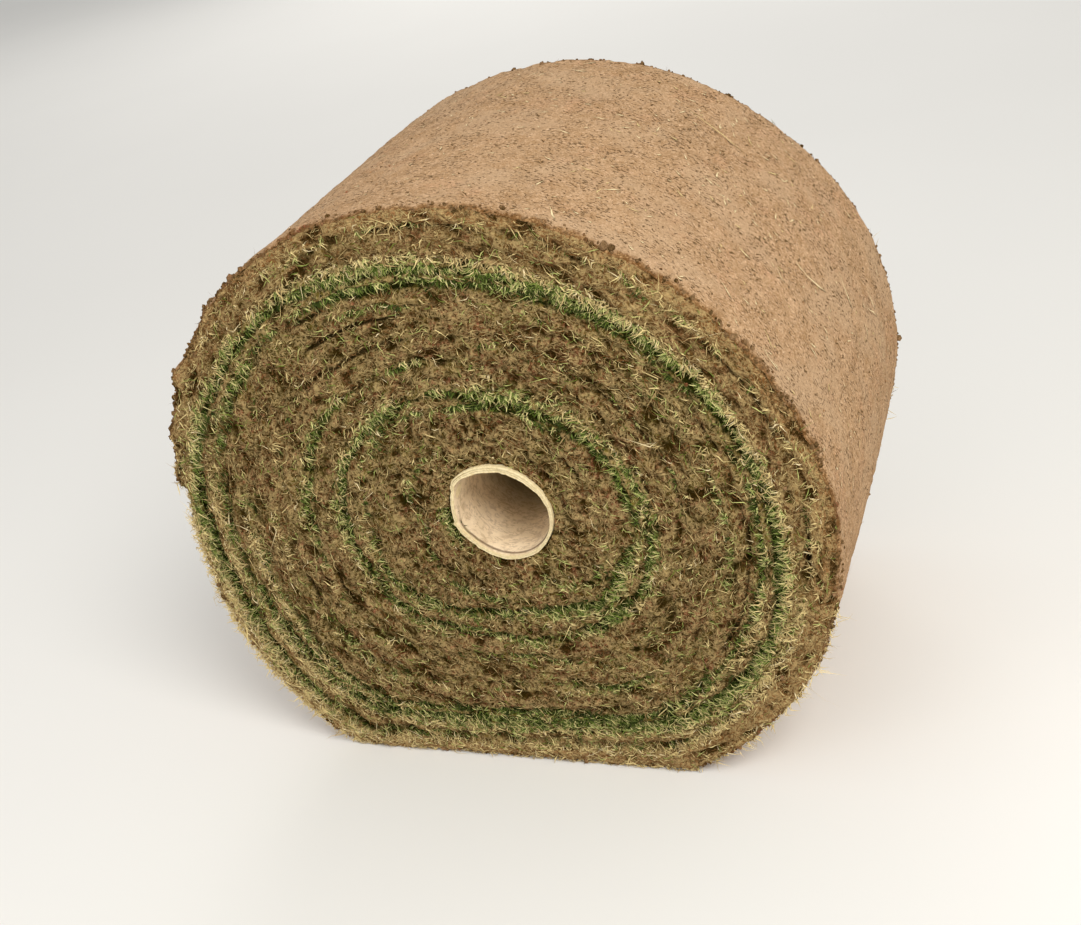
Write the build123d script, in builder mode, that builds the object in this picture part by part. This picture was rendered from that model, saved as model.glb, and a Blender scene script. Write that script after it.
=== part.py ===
"""A big roll of turf: one strip of soil and grass wound round a cardboard core, lying on its side.

Millimetres. The roll's axis is along Y, the end that is looked at faces -Y, and the ground is Z = 0.
"""
import os
from math import cos, exp, pi, radians, sin

from build123d import *

# Driving sizes
roll_width = 1000.0         # across the sagged end, side to side
strip_width = 610.0         # width the strip was cut to, which is the length of the roll
turns = 9.0                 # of the strip around the core
core_radius = 78.0          # outside of the cardboard core
core_wall = 7.0
core_stand = 5.0            # the core reaches past the turf by this at each end
core_clearance = 0.3        # all round, between the core and the innermost turn

# The sagged outline, in shares of roll_width, told as a radius about the core's centre
core_height = 0.465         # core centre above the ground
mean_radius = 0.4917
waves = ((-0.0350, -0.0358), (0.0052, 0.0017))      # across and up, once and twice round
heel_bulge, heel_angle, heel_spread = 0.0502, radians(232), radians(32)

# The strip's outer end, on the left flank
tail_angle = radians(176)
tail_step = 0.012           # how far the outside drops past the strip's end, in shares of roll_width
tail_fade = radians(35)     # and how far round it takes to level out again

# The seams between the turns, where the grass is recessed at both ends of the roll
seam_width = 14.0
seam_depth = 8.0
lap_share = 0.05            # extra cover over the last seam, in shares of core to outline
lap_spread = 0.05           # of a turn
lean_share = 0.07           # the turns crowd outward on the left by this
crown_share = 0.08          # and lie looser over the top by this
tightening = 1.1            # above 1, the outer turns are thinner than the inner ones
seam_start, seam_end = 0.04, 8.3    # in turns, counted back from the strip's outer end
arcs_per_turn = 12


def free_radius(angle):
    """Radius of the sagged roll before the ground flattens it, in shares of its width."""
    radius = mean_radius + heel_bulge * exp(-(((angle - heel_angle) / heel_spread) ** 2))
    for order, (across, up) in enumerate(waves, start=1):
        radius += across * cos(order * angle) + up * sin(order * angle)
    return radius


def outline_radius(angle):
    """The same, stopped by the ground, for any angle."""
    angle = angle % (2 * pi)
    ground = core_height / -sin(angle) if sin(angle) < -0.3 else 9.0
    return min(free_radius(angle), ground)


def tail_drop(angle):
    """How far the outside has dropped just past the strip's end, in shares of the roll's width."""
    past = (angle - tail_angle) / tail_fade
    return tail_step * (1 - past) ** 2 * (1 + 2 * past) if 0 <= past < 1 else 0.0


def ground_angle(low, high):
    """Angle at which the free outline meets the ground, found by halving between two angles."""
    rising = free_radius(low) * sin(low) + core_height > 0
    for _ in range(50):
        middle = (low + high) / 2
        above = free_radius(middle) * sin(middle) + core_height > 0
        low, high = (middle, high) if above == rising else (low, middle)
    return (low + high) / 2


angles_all_round = [2 * pi * i / 3600 for i in range(3600)]
reach_x = [(outline_radius(a) - tail_drop(a)) * cos(a) for a in angles_all_round]
scale = roll_width / (max(reach_x) - min(reach_x))
core_x = -scale * (max(reach_x) + min(reach_x)) / 2     # so that the roll's middle is at X = 0
core_z = scale * core_height


def spot(angle, radius):
    """Point of the end face at this angle and radius about the core's centre."""
    return (core_x + radius * cos(angle), core_z + radius * sin(angle))


def outline_arc(start, end, count, drop=0.0):
    """Points of the outside from one angle to another, lowered past the tail where drop is 1."""
    angles = [start + (end - start) * i / count for i in range(count + 1)]
    return [spot(a, scale * (outline_radius(a) - drop * tail_drop(a))) for a in angles]


def arcs_through(points):
    """A smooth chain of arcs, each through three neighbouring points of a list of odd length."""
    return [ThreePointArc(*points[i:i + 3]) for i in range(0, len(points) - 2, 2)]


def turn_radius(angle, share):
    """Outline for one turn, its corners on the ground rounded more and more toward the core."""
    free = free_radius(angle % (2 * pi))
    if sin(angle) > -0.3:
        return scale * free
    sharpness = 8 + 60 * share ** 4
    ground = core_height / -sin(angle)
    return scale * (free ** -sharpness + ground ** -sharpness) ** (-1 / sharpness)


def seam_share(back, angle):
    """Where a seam lies between core and outline, this many turns back from the strip's end."""
    share = 1 - lap_share * (1 - exp(-back / lap_spread)) - (1 - lap_share) * (back / turns) ** tightening
    share += lean_share * min(back, 1) * (1 - cos(angle)) / 2 * min(1, 4 * share)
    return share * (1 - crown_share * min(1, max(0, back - 0.5)) * ((1 + sin(angle)) / 2) ** 2)


def seam_point(back, side):
    """Point of a seam this many turns back from the tail, side being millimetres outward of it."""
    angle = tail_angle - 2 * pi * back
    share = seam_share(back, angle)
    return spot(angle, core_radius + share * (turn_radius(angle, share) - core_radius) + side)


def seam_edge(side):
    """All points of one edge of the spiral seam."""
    count = 2 * round((seam_end - seam_start) * arcs_per_turn)
    backs = [seam_start + (seam_end - seam_start) * i / count for i in range(count + 1)]
    return [seam_point(back, side) for back in backs]


# The ends face along Y. Plane.XZ looks toward -Y, so its own x is X and its own y is Z.
front_y = -strip_width / 2
back_y = strip_width / 2
right_foot = ground_angle(radians(270), radians(330)) - 2 * pi
left_foot = ground_angle(radians(200), radians(260))

with BuildPart() as turf_roll:
    with BuildSketch(Plane.XZ.offset(-back_y)):
        with BuildLine():
            before = arcs_through(outline_arc(right_foot, tail_angle, 48))
            after = arcs_through(outline_arc(tail_angle, left_foot, 12, drop=1.0))
            # The strip's cut end is a short step, and the ground closes the outline.
            Line(before[-1] @ 1, after[0] @ 0)
            Line(after[-1] @ 1, before[0] @ 0)
        make_face()
    extrude(amount=strip_width)
    with BuildSketch(Plane.XZ.offset(-back_y)):
        with Locations((core_x, core_z)):
            Circle(core_radius + core_clearance)
    extrude(amount=strip_width, mode=Mode.SUBTRACT)
    # Both ends: one spiral recess between the soil of neighbouring turns.
    for end_y, inward in ((front_y, -1), (back_y, 1)):
        with BuildSketch(Plane.XZ.offset(-end_y)):
            with BuildLine():
                outer = arcs_through(seam_edge(seam_width / 2))
                inner = arcs_through(seam_edge(-seam_width / 2))
                Line(outer[0] @ 0, inner[0] @ 0)
                Line(outer[-1] @ 1, inner[-1] @ 1)
            make_face()
        extrude(amount=inward * seam_depth, mode=Mode.SUBTRACT)
turf_roll.part.label = "turf_roll"

with BuildPart() as core_tube:
    with BuildSketch(Plane.XZ.offset(-back_y - core_stand)):
        with Locations((core_x, core_z)):
            Circle(core_radius)
            Circle(core_radius - core_wall, mode=Mode.SUBTRACT)
    extrude(amount=strip_width + 2 * core_stand)
core_tube.part.label = "core_tube"

os.makedirs("parts", exist_ok=True)
export_step(turf_roll.part, "parts/turf_roll.step")
export_step(core_tube.part, "parts/core_tube.step")
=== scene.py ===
"""A big roll of turf: one strip of soil, thatch and grass, wound soil side out on a cardboard core.

Metres, in the frame of the solid model: the roll's axis is along Y, the end that is looked at faces -Y
and the ground is Z = 0. Angles go round the core's centre from +X, counter-clockwise seen from that end.
"""

from math import cos, pi, radians, sin, tau
from types import SimpleNamespace

import bmesh
import bpy
import numpy as np
from mathutils import Matrix, Vector


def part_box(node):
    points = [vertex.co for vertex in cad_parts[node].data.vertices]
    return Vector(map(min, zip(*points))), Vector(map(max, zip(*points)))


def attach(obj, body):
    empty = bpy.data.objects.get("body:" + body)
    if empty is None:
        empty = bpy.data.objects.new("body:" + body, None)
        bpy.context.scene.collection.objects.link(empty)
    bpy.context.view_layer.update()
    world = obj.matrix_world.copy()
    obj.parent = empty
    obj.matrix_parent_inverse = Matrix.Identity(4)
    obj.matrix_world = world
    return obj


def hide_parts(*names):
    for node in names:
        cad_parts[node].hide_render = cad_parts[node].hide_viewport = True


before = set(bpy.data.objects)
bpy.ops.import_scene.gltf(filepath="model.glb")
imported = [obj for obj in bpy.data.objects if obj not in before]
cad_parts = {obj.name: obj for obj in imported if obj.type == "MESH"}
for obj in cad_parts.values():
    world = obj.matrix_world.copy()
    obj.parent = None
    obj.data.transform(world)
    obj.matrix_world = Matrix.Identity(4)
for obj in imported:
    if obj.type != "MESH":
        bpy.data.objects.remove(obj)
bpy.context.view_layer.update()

bl_info = {
    "name": "Roll of Turf",
    "version": (1, 0, 0),
    "blender": (4, 5, 0),
    "location": "3D View > Sidebar > Turf Roll",
    "description": "Builds a sagged roll of turf: soil, thatch and grass wound on a cardboard core",
    "category": "Add Mesh",
}

ROLL_LOW, ROLL_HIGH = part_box("turf_roll")
TUBE_LOW, TUBE_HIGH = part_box("core_tube")

# The sagged section, as in the solid model, in shares of the roll's width about the core's centre
CORE_HEIGHT = 0.465
MEAN_RADIUS = 0.4917
WAVES = ((-0.0350, -0.0358), (0.0052, 0.0017))
HEEL_BULGE, HEEL_ANGLE, HEEL_SPREAD = 0.0502, radians(232), radians(32)
TAIL_STEP, TAIL_FADE = 0.012, radians(35)
LAP_SHARE, LAP_SPREAD, LEAN_SHARE, CROWN_SHARE, TIGHTENING = 0.05, 0.05, 0.07, 0.08, 1.1

# The grassy band along the seam of each turn, outermost first, at knots round the roll: degrees, how far
# its middle lies outside the seam, half its width (both in millimetres), lushness of the green and the straw
GRASS_BANDS = (
    ((4, 0, 5, .15, .5), (60, -6, 5, .3, .4), (90, -6, 5, .1, .3), (110, -11, 6, .35, .4),
     (150, -8, 5, .1, .5), (172, -10, 6, .25, .8), (180, 0, 12, 1.2, 1.5), (205, -6, 13, 1.0, 2.5),
     (230, -4, 14, .7, 2.2), (250, -4, 10, .5, 1.3), (290, -7, 8, .5, 1.1), (315, -14, 4, .5, 1.6),
     (345, -10, 6, .2, .8)),
    ((10, -8, 11, 1.0, 1.2), (30, -10, 11, 1.2, 1.2), (50, -13, 10, 1.25, 1.1), (70, -16, 10, 1.3, 1.2),
     (90, -18, 11, 1.1, .8), (110, -19, 10, 1.3, 1.0), (130, -14, 9, .9, 1.0), (150, -15, 9, 1.2, .6),
     (168, -3, 9, 1.4, .8), (190, 5, 10, .7, 1.6), (210, -5, 14, 1.0, 1.7), (230, -12, 12, 1.2, 1.4),
     (250, -6, 15, 1.5, .8), (270, -8, 15, 1.5, .7), (290, -12, 13, 1.5, .5), (310, 2, 12, 1.5, 1.2),
     (330, 7, 9, 1.4, 1.9), (350, -2, 11, 1.2, 1.2)),
    ((10, 12, 6, .5, .5), (30, 14, 5, .7, .3), (50, 13, 5, .8, .2), (70, 8, 10, .9, .2),
     (90, 5, 12, .8, .4), (110, 4, 14, 1.0, .5), (130, 8, 8, .4, .5), (150, 3, 12, .8, .4),
     (170, 8, 10, .4, .4), (190, 5, 8, .4, 1.2), (210, 8, 9, .6, 1.3), (230, 16, 8, 1.0, .8),
     (250, 12, 7, .8, .6), (270, 11, 8, 1.2, .5), (290, 16, 5, 1.2, .4), (310, 8, 8, .7, .6),
     (330, 12, 6, .8, 1.0), (350, 13, 6, .9, .8)),
    ((10, 5, 5, .35, .4), (30, 13, 5, .3, .3), (55, 13, 4, .12, .1), (70, 14, 4, .25, .1),
     (90, 12, 4, .1, .1), (110, 10, 7, .6, .3), (130, 13, 5, .2, .2), (170, 10, 5, .2, .2),
     (190, 4, 5, .1, .5), (225, 5, 9, .6, .5), (245, 8, 6, .15, .2), (270, -8, 8, .4, .2),
     (290, 3, 8, .8, .2), (310, -4, 7, .2, .1), (345, 12, 5, .35, .2)),
    ((10, -1, 7, .25, .2), (40, -8, 5, .1, .1), (88, -9, 5, .3, .1), (105, 0, 4, .0, .1),
     (150, 0, 4, .02, .1), (170, -6, 6, .3, .2), (190, 2, 9, .5, .4), (210, 4, 5, .1, .3),
     (230, -6, 8, .5, .3), (250, -14, 8, .25, .2), (270, -18, 7, .8, .4), (290, 5, 7, .25, .3),
     (310, -10, 9, .35, .1), (345, -8, 4, .05, .1)),
    ((10, -16, 8, .75, .5), (30, -19, 5, .7, .6), (50, -20, 4, .5, .3), (75, -20, 3, .12, .2),
     (95, -8, 4, .2, .3), (110, -4, 6, .9, .2), (130, -12, 5, .3, .2), (150, 0, 9, .8, .3),
     (170, -3, 9, .8, .3), (190, -8, 10, 1.1, .5), (210, -17, 8, .9, .4), (230, -15, 10, 1.0, .4),
     (250, -17, 7, .9, .3), (270, 2, 7, .8, .3), (290, -12, 9, .7, .3), (310, -16, 9, 1.5, .2),
     (330, -12, 8, .9, .4), (350, -13, 10, .8, .4)),
    ((10, 8, 11, .9, .5), (30, 6, 11, .9, .6), (50, -2, 15, .8, .5), (70, -10, 13, 1.3, .4),
     (90, -13, 12, 1.1, .3), (110, -10, 7, .5, .3), (130, -15, 9, 1.1, .5), (150, -14, 7, 1.2, .4),
     (170, -9, 7, 1.0, .4), (190, 8, 9, .5, .4), (210, 14, 7, .9, .3), (230, 1, 11, 1.3, .3),
     (250, -4, 11, 1.0, .4), (270, -11, 9, 1.0, .3), (290, -5, 11, 1.3, .3), (310, 4, 10, 1.3, .3),
     (330, -4, 13, 1.0, .4), (350, 10, 8, .6, .4)),
    ((10, -5, 4, .1, .3), (40, 14, 3, .2, .1), (70, 17, 4, 1.0, .2), (90, 13, 7, 1.2, .3),
     (110, 6, 7, .25, .3), (130, 17, 5, .6, .2), (150, 14, 8, .6, .3), (170, 10, 6, .2, .2),
     (200, -16, 6, .5, .2), (225, 10, 4, .3, .1), (250, 19, 5, .9, .1), (270, 14, 5, .3, .2),
     (290, -19, 5, .7, .3), (310, 16, 5, .6, .2), (330, 17, 4, .6, .2), (350, 0, 3, .05, .1)),
    ((124, 0, 4, .0, .0), (146, 0, 5, .5, .1), (168, 0, 6, .6, .1), (180, 9, 8, 1.7, .1),
     (206, 8, 8, 1.7, .1), (222, 5, 5, .3, .0), (240, 0, 4, .0, .0), (300, 0, 4, .0, .0)),
)
# Where straw hangs over the rim itself: from and to in degrees, lushness
RIM_ARCS = ((182, 242, 1.0), (242, 296, 0.3), (298, 342, 0.25))
# Loose lumps of soil on the left flank by the near end: degrees, metres from that end, height, spread
FLANK_LUMPS = (
    (154, 0.004, 0.012, 0.024), (166, 0.010, 0.007, 0.018), (139, 0.006, 0.006, 0.016),
    (184, 0.010, 0.008, 0.012))
# The core's mouth, all round: degrees, outer radius and thickness of the lip in millimetres
CORE_MOUTH = (
    (0, 78, 5.0), (25, 78.4, 6.5), (45, 78, 9.5), (70, 78, 10), (95, 78, 10.5), (115, 79, 9),
    (128, 80.4, 8), (138, 82, 7), (145, 80.5, 6), (153, 76.5, 5), (165, 74.7, 4.5), (180, 74.2, 4.5),
    (190, 75.6, 5), (197, 77.2, 5), (206, 77.2, 5.5), (216, 75.6, 5.5), (226, 74.6, 5.5), (240, 76, 6),
    (258, 77.6, 6), (270, 78, 6), (300, 77.6, 6), (330, 76.4, 5),
)
# Where its inner ply is torn away: degrees, depth, and how far that reaches round and in
TORN_PLY = ((157, 0.017, 9, 0.010), (210, 0.006, 7, 0.005), (225, 0.006, 5, 0.004))
# Its edge seen inside on the lower side: where that fades in and out, in degrees, and how deep it lies
PLY_EDGE, PLY_EDGE_DEPTH = (188, 200, 338, 352), 0.00885
# Where the mouth's plies stand open, in degrees, and how deep the open groove goes
OPEN_PLIES, OPEN_DEPTH = (116, 124, 142, 150), 0.002
# Depths in metres at which the tube has a ring of corners, out from both mouths
CORE_RINGS = (
    0.0007, 0.002, 0.004, 0.0062, 0.0085, 0.0092, 0.0115, 0.016, 0.022, 0.032, 0.045, 0.065, 0.09, 0.12,
    0.16, 0.22)
# The face of the mouth: shares of the wall from inside to outside, and metres down, deeper at two grooves
CORE_LIP = (
    (0.0, 0.0006), (0.10, 0.0), (0.30, 0.0), (0.36, 0.0008), (0.42, 0.0), (0.58, 0.0), (0.64, 0.0010),
    (0.70, 0.0), (0.93, 0.0))
# Shares of the wall where the grooves between its plies lie, and corners round the tube
CORE_GROOVES, CORE_STEPS = (0.36, 0.64), 160
# Room between the worn tube and its bore, in metres
CORE_SLACK = 0.0004
# A slit between the two outermost turns on the right: degrees, radius, half length and half width in metres
SLIT = (351.5, 0.424, 0.019, 0.0045)

# Blades in each tuft of grass and of straw, and the share of the dead blades that stand in tufts
GRASS_TUFT, STRAW_TUFT, TUFTED_SHARE = 9, 5, 0.40
# Dead blades over the rim, for each degree of it, as a share of all of them
RIM_STRAWS = 0.0011
# How far blades may stand out of an end, reach to the sides and rise above the roll, in metres
BLADE_PAST, BLADE_SIDE, STRAW_SIDE, BLADE_RISE = 0.0135, 0.509, 0.5045, 0.004
# Straw and roots keep this far from the core and the rim when they turn toward them
CLEAR_OF_CORE, CLEAR_OF_RIM = 0.022, 0.020
# Tones of the dead blades that mean still green, over this spread, and bleached
MOSSY_TONE, MOSSY_SPREAD, BLEACHED_TONE = 1.4, 0.5, 2.5

# Columns and rows of the soil's grids, round the roll and across
OUTSIDE_GRID, NEAR_GRID, FAR_GRID = (640, 84), (720, 110), (640, 60)
# Metres that the wrap spans round and across the outside, and round and in from the rim of an end
OUTSIDE_SPAN, END_SPAN = (3.1, 0.61), (3.0, 0.41)

# The camera, fitted to the photo: its place, how it is turned, its focal length and the photo's width, both
# in pixels, and the width of its sensor in millimetres
CAMERA_PLACE = (0.816168, -1.757969, 1.451452)
CAMERA_YAW, CAMERA_PITCH, CAMERA_ROLL = 0.451718, 0.509476, -0.233276
FOCAL_PIXELS, PHOTO_PIXELS, SENSOR_WIDTH = 1379.156, 1081, 36.0
# Studio lamps: name, place, size across, power and tint
LAMPS = (
    ("key_light", (2.4, -2.0, 3.6), 2.2, 132.0, (1.0, 0.98, 0.945)),
    ("fill_light", (-2.2, -3.2, 2.2), 2.6, 30.0, (1.0, 0.98, 0.96)),
    ("back_light", (-2.4, 7.2, 3.95), 5.2, 136.0, (1.0, 0.98, 0.96)))
LAMPS_AIM = (0.0, 0.0, 0.45)


def paint(red, green, blue):
    """A colour told in the usual 0 to 255, as the linear one that shaders take."""
    parts = [c / 255 for c in (red, green, blue)]
    return tuple(c / 12.92 if c <= 0.04045 else ((c + 0.055) / 1.055) ** 2.4 for c in parts)


def size_of(name, about, value, low=0.0, high=10.0, unit="LENGTH"):
    return bpy.props.FloatProperty(
        name=name, description=about, default=value, min=low, max=high, unit=unit, precision=4)


def colour_of(name, about, *rgb):
    return bpy.props.FloatVectorProperty(
        name=name, description=about, default=paint(*rgb), subtype="COLOR", min=0.0, max=1.0, size=3)


def count_of(name, about, value):
    return bpy.props.IntProperty(name=name, description=about, default=value, min=0, max=60000)


class TurfSizes(bpy.types.PropertyGroup):
    """The sizes of the roll that a user would change."""
    roll_width: size_of("Roll width", "Across the sagged end, side to side", ROLL_HIGH.x - ROLL_LOW.x)
    strip_width: size_of(
        "Strip width", "Width the strip was cut to, the length of the roll", ROLL_HIGH.y - ROLL_LOW.y)
    turns: size_of("Turns", "Turns of the strip on the core", 9.0, 1.0, 30.0, "NONE")
    tail_angle: size_of(
        "Strip's end", "Where the outer end of the strip lies", radians(176), 0.0, tau, "ROTATION")
    core_radius: size_of("Core radius", "Outside of the cardboard core", (TUBE_HIGH.x - TUBE_LOW.x) / 2)
    core_length: size_of("Core length", "Length of the cardboard core", TUBE_HIGH.y - TUBE_LOW.y)
    core_wall: size_of("Core wall", "Thickness of the cardboard", 0.007)
    seam_depth: size_of("Seam depth", "How far the grass lies back between two turns of soil", 0.008)
    clod_height: size_of("Clod height", "How rough the cut soil is at the ends", 0.0050)
    blade_length: size_of("Blade length", "Length of a grass blade", 0.020)
    blade_width: size_of("Blade width", "Width of a grass blade", 0.0021)
    fibre_length: size_of("Fibre length", "Length of a dead blade", 0.0118)
    fibre_width: size_of("Fibre width", "Width of a dead blade", 0.00115)
    root_length: size_of("Root length", "Length of a fine root in the cut soil", 0.0150)
    root_width: size_of("Root width", "Width of a fine root", 0.0009)
    blades: count_of("Blades", "Grass blades at the near end", 42500)
    fibres: count_of("Fibres", "Dead blades at the near end", 31000)
    roots: count_of("Roots", "Fine roots at the near end", 14000)
    crumbs: count_of("Crumbs", "Loose crumbs of soil", 2400)
    straws: count_of("Straws", "Bits of straw pressed into the outside", 1000)


class TurfColours(bpy.types.PropertyGroup):
    """The colours of the roll that a user would change."""
    dry_soil: colour_of("Dry soil", "The outside of the roll", 203, 167, 130)
    dry_shade: colour_of("Dry soil, darker", "Mottling of the outside", 164, 129, 91)
    fleck: colour_of("Fleck", "Short dark flecks in the outside", 94, 71, 40)
    end_soil: colour_of("End soil", "Cut soil at the ends", 129, 97, 61)
    # Dark soil, and the painted shade in the hollows, cracks and crevices of the cut soil and between its
    # crumbs
    dark_soil_and_painted_shade: colour_of("Dark soil", "Hollows in the cut soil", 50, 36, 2)
    red_soil: colour_of("Red soil", "Reddish patches of the cut soil", 150, 93, 66)
    # Greyish soil, and also, darkened, the painted shade deep inside the core
    grey_soil_and_painted_shade: colour_of("Grey soil", "Greyish and mossy patches of the cut soil", 106, 94, 42)
    root: colour_of("Root", "Fine roots in the cut soil", 192, 165, 112)
    rim_soil: colour_of("Rim soil", "Soil of the outermost turn, half dry", 184, 144, 98)
    # Moss under the grass, darkened there and at the blades' roots as painted shade
    moss_and_painted_shade: colour_of("Moss and painted shade", "Shaded soil under the grass", 54, 58, 4)
    green_deep: colour_of("Deep green", "Shaded grass", 50, 62, 6)
    green: colour_of("Green", "Grass", 116, 136, 52)
    green_light: colour_of("Light green", "Young grass", 208, 210, 130)
    straw: colour_of("Straw", "Dead blades", 244, 221, 156)
    bleached: colour_of("Bleached straw", "The palest dead blades", 248, 228, 180)
    # Rotting blades and roots, and, darkened, the painted shade at the base of dead blades and along the
    # inner ply's edge
    straw_brown_and_painted_shade: colour_of("Brown straw", "Rotting blades and roots", 126, 86, 46)
    card: colour_of("Cardboard", "The core's rim", 242, 224, 180)
    # Paler than the real cardboard: painted light, making up for light that the lamps don't bring into the
    # tube
    card_inside: colour_of("Cardboard inside", "Dusty inside of the core", 246, 224, 190)
    floor: colour_of("Floor", "Studio floor", 236, 234, 229)


# Numbers


# Large numbers that scatter the cells of the noise
LATTICE_PRIMES = 73856093, 19349663, 83492791
LATTICE_MIXERS = 1274126177, 668265263


def noise(points, size, seed=0):
    """Smooth lumps from about -1 to 1 at rows of points, each lump about this size across."""
    place = np.asarray(points, float) / size + np.array((31.7, 11.3, 71.9)) * (seed + 1)
    cell = np.floor(place).astype(np.int64)
    part = place - cell
    ease = part * part * part * (part * (part * 6 - 15) + 10)
    total = np.zeros(len(place))
    for corner in np.ndindex(2, 2, 2):
        x, y, z = ((cell + corner) * np.array(LATTICE_PRIMES)).T
        mixed = x ^ y ^ z
        mixed = (mixed ^ (mixed >> 13)) * LATTICE_MIXERS[0] & 0x7FFFFFFF
        mixed = (mixed ^ (mixed >> 11)) * LATTICE_MIXERS[1] & 0x3FFFFFFF
        slope = np.stack([mixed & 1023, mixed >> 10 & 1023, mixed >> 20 & 1023], 1) / 511.5 - 1
        share = np.prod(np.where(corner, ease, 1 - ease), 1)
        total += share * (slope * (part - corner)).sum(1)
    return total * 1.7


def lumps(points, *layers):
    """Layers of noise added up, each told as its height, its size across and its seed."""
    return sum(height * noise(points, size, seed) for height, size, seed in layers)


def ease_between(value, low, high):
    """0 below low, 1 above high and smooth between."""
    part = np.clip((value - low) / (high - low), 0, 1)
    return part * part * (3 - 2 * part)


def on_arc(angle, start, full, fade, end):
    """1 on an arc round the roll, easing in before it and out behind it, all in degrees."""
    return ease_between(angle, start, full) * (1 - ease_between(angle, fade, end))


def hump(value, middle, spread):
    """1 at the middle and fading out to both sides of it."""
    return np.exp(-(((value - middle) / spread) ** 2))


def unit(rows):
    return rows / np.maximum(np.linalg.norm(rows, axis=1, keepdims=True), 1e-9)


# The roll's section


class Section:
    """The sagged section of the roll and the spiral of its turns, as the solid model has them."""

    def __init__(self, sizes):
        self.sizes = sizes
        self.tail, self.turns = sizes.tail_angle, sizes.turns
        self.core, self.half = sizes.core_radius, sizes.strip_width / 2
        angles = np.linspace(0, tau, 3600, endpoint=False)
        reach = (self.outline_share(angles) - self.drop_share(angles - self.tail)) * np.cos(angles)
        self.scale = sizes.roll_width / (reach.max() - reach.min())
        self.x = -self.scale * (reach.max() + reach.min()) / 2
        self.z = self.scale * CORE_HEIGHT

    def free_share(self, angle):
        """Radius of the outside before the ground flattens it."""
        off = (angle - HEEL_ANGLE + pi) % tau - pi
        share = MEAN_RADIUS + HEEL_BULGE * hump(off, 0.0, HEEL_SPREAD)
        for order, (across, up) in enumerate(WAVES, start=1):
            share = share + across * np.cos(order * angle) + up * np.sin(order * angle)
        return share

    def ground_share(self, angle):
        down = -np.sin(angle)
        return np.where(down > 0.3, CORE_HEIGHT / np.maximum(down, 0.3), 9.0)

    def outline_share(self, angle):
        return np.minimum(self.free_share(angle), self.ground_share(angle))

    def drop_share(self, past):
        """How far the outside has dropped, this far round past the strip's end."""
        part = np.clip(past / TAIL_FADE, 0, 1)
        return np.where(past >= 0, TAIL_STEP * (1 - part) ** 2 * (1 + 2 * part), 0.0)

    def rim_radius(self, angle):
        """Radius of the outside, in metres, with its drop past the strip's end."""
        return self.scale * (self.outline_share(angle) - self.drop_share((angle - self.tail) % tau))

    def seam_radius(self, turn, angle):
        """Radius of the seam on this turn, counted back from the strip's outer end."""
        back = ((self.tail - angle) / tau) % 1.0 + turn
        share = 1 - LAP_SHARE * (1 - np.exp(-back / LAP_SPREAD))
        share = np.clip(share - (1 - LAP_SHARE) * (back / self.turns) ** TIGHTENING, 0, 1)
        lean = LEAN_SHARE * np.minimum(back, 1) * (1 - np.cos(angle)) / 2
        share = share + lean * np.minimum(1, 4 * share)
        share = share * (1 - CROWN_SHARE * np.clip(back - 0.5, 0, 1) * ((1 + np.sin(angle)) / 2) ** 2)
        sharpness = 8 + 60 * share ** 4
        free, ground = self.free_share(angle), self.ground_share(angle)
        rounded = (free ** -sharpness + ground ** -sharpness) ** (-1 / sharpness)
        return self.core + share * (self.scale * rounded - self.core)

    def spot(self, angle, radius, y):
        """Points at these angles and radii about the core's centre."""
        x, z = self.x + radius * np.cos(angle), self.z + radius * np.sin(angle)
        return np.stack([x, np.broadcast_to(y, angle.shape), z], 1)

    def layer(self, angle, radius, outside):
        """The turn that each point of an end is in, how far above its inner seam and below its outer one."""
        seams = [self.seam_radius(turn, angle) for turn in range(int(self.turns))]
        seams = np.stack([outside] + seams + [np.full(len(angle), self.core)])
        turn = np.clip((seams[1:] > radius).sum(0), 0, len(seams) - 2)
        rows = np.arange(len(angle))
        return turn, radius - seams[turn + 1, rows], seams[turn, rows] - radius


def round_the_roll(section, around):
    """Angle, outline radius and drop at a share of the way round, from the strip's end back to it."""
    angle = section.tail + tau * around
    dropped = section.scale * section.drop_share(tau * around)
    dropped = np.where(around > 0.999999, 0.0, dropped)
    return angle, section.scale * section.outline_share(angle), dropped


def outside_place(section, around, along):
    """Points of the outside, from the near end (0) to the far one (1), and how worn the edge is there."""
    angle, outline, dropped = round_the_roll(section, around)
    flat = section.spot(angle, outline, section.half * (2 * along - 1))
    y = flat[:, 1]
    broad = lumps(flat, (0.0030, 0.17, 1), (0.0014, 0.06, 2))
    small = lumps(flat, (0.0011, 0.021, 3), (0.0009, 0.011, 4))
    ragged = lumps(flat, (1.0, 0.035, 5), (0.7, 0.013, 6))
    reach = 0.017 + 0.009 * ragged
    edge = section.half - np.abs(y)
    worn = np.clip(1 - edge / np.maximum(reach, 0.004), 0, 1)
    radius = outline - dropped + broad + small - 0.0050 * worn ** 2 + 0.0032 * worn * ragged
    radius -= 0.0030 * np.clip(noise(flat, 0.008, 7) - 0.35, 0, 1) * 3
    for degrees_round, inward, height, spread in FLANK_LUMPS:
        turned = (angle - radians(degrees_round) + pi) % tau - pi
        away = (turned * 0.5 / spread) ** 2 + ((y - (inward - section.half)) / spread) ** 2
        radius += height * np.exp(-away * 1.5)
    out = section.spot(angle, radius, y + np.sign(-y) * worn * (0.0030 + 0.0035 * noise(flat, 0.02, 8)))
    out[:, 2] = np.maximum(out[:, 2], 0.0)
    return out, worn


def slit_mask(angle, radius):
    """1 inside the slit between the two outermost turns, fading out round it."""
    degrees_round, middle, long, wide = SLIT
    along = np.radians((np.degrees(angle) - degrees_round + 180) % 360 - 180)
    away = (along * middle / long) ** 2 + ((radius - middle) / wide) ** 2
    return 1 - ease_between(away, 0.5, 1.3)


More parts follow.
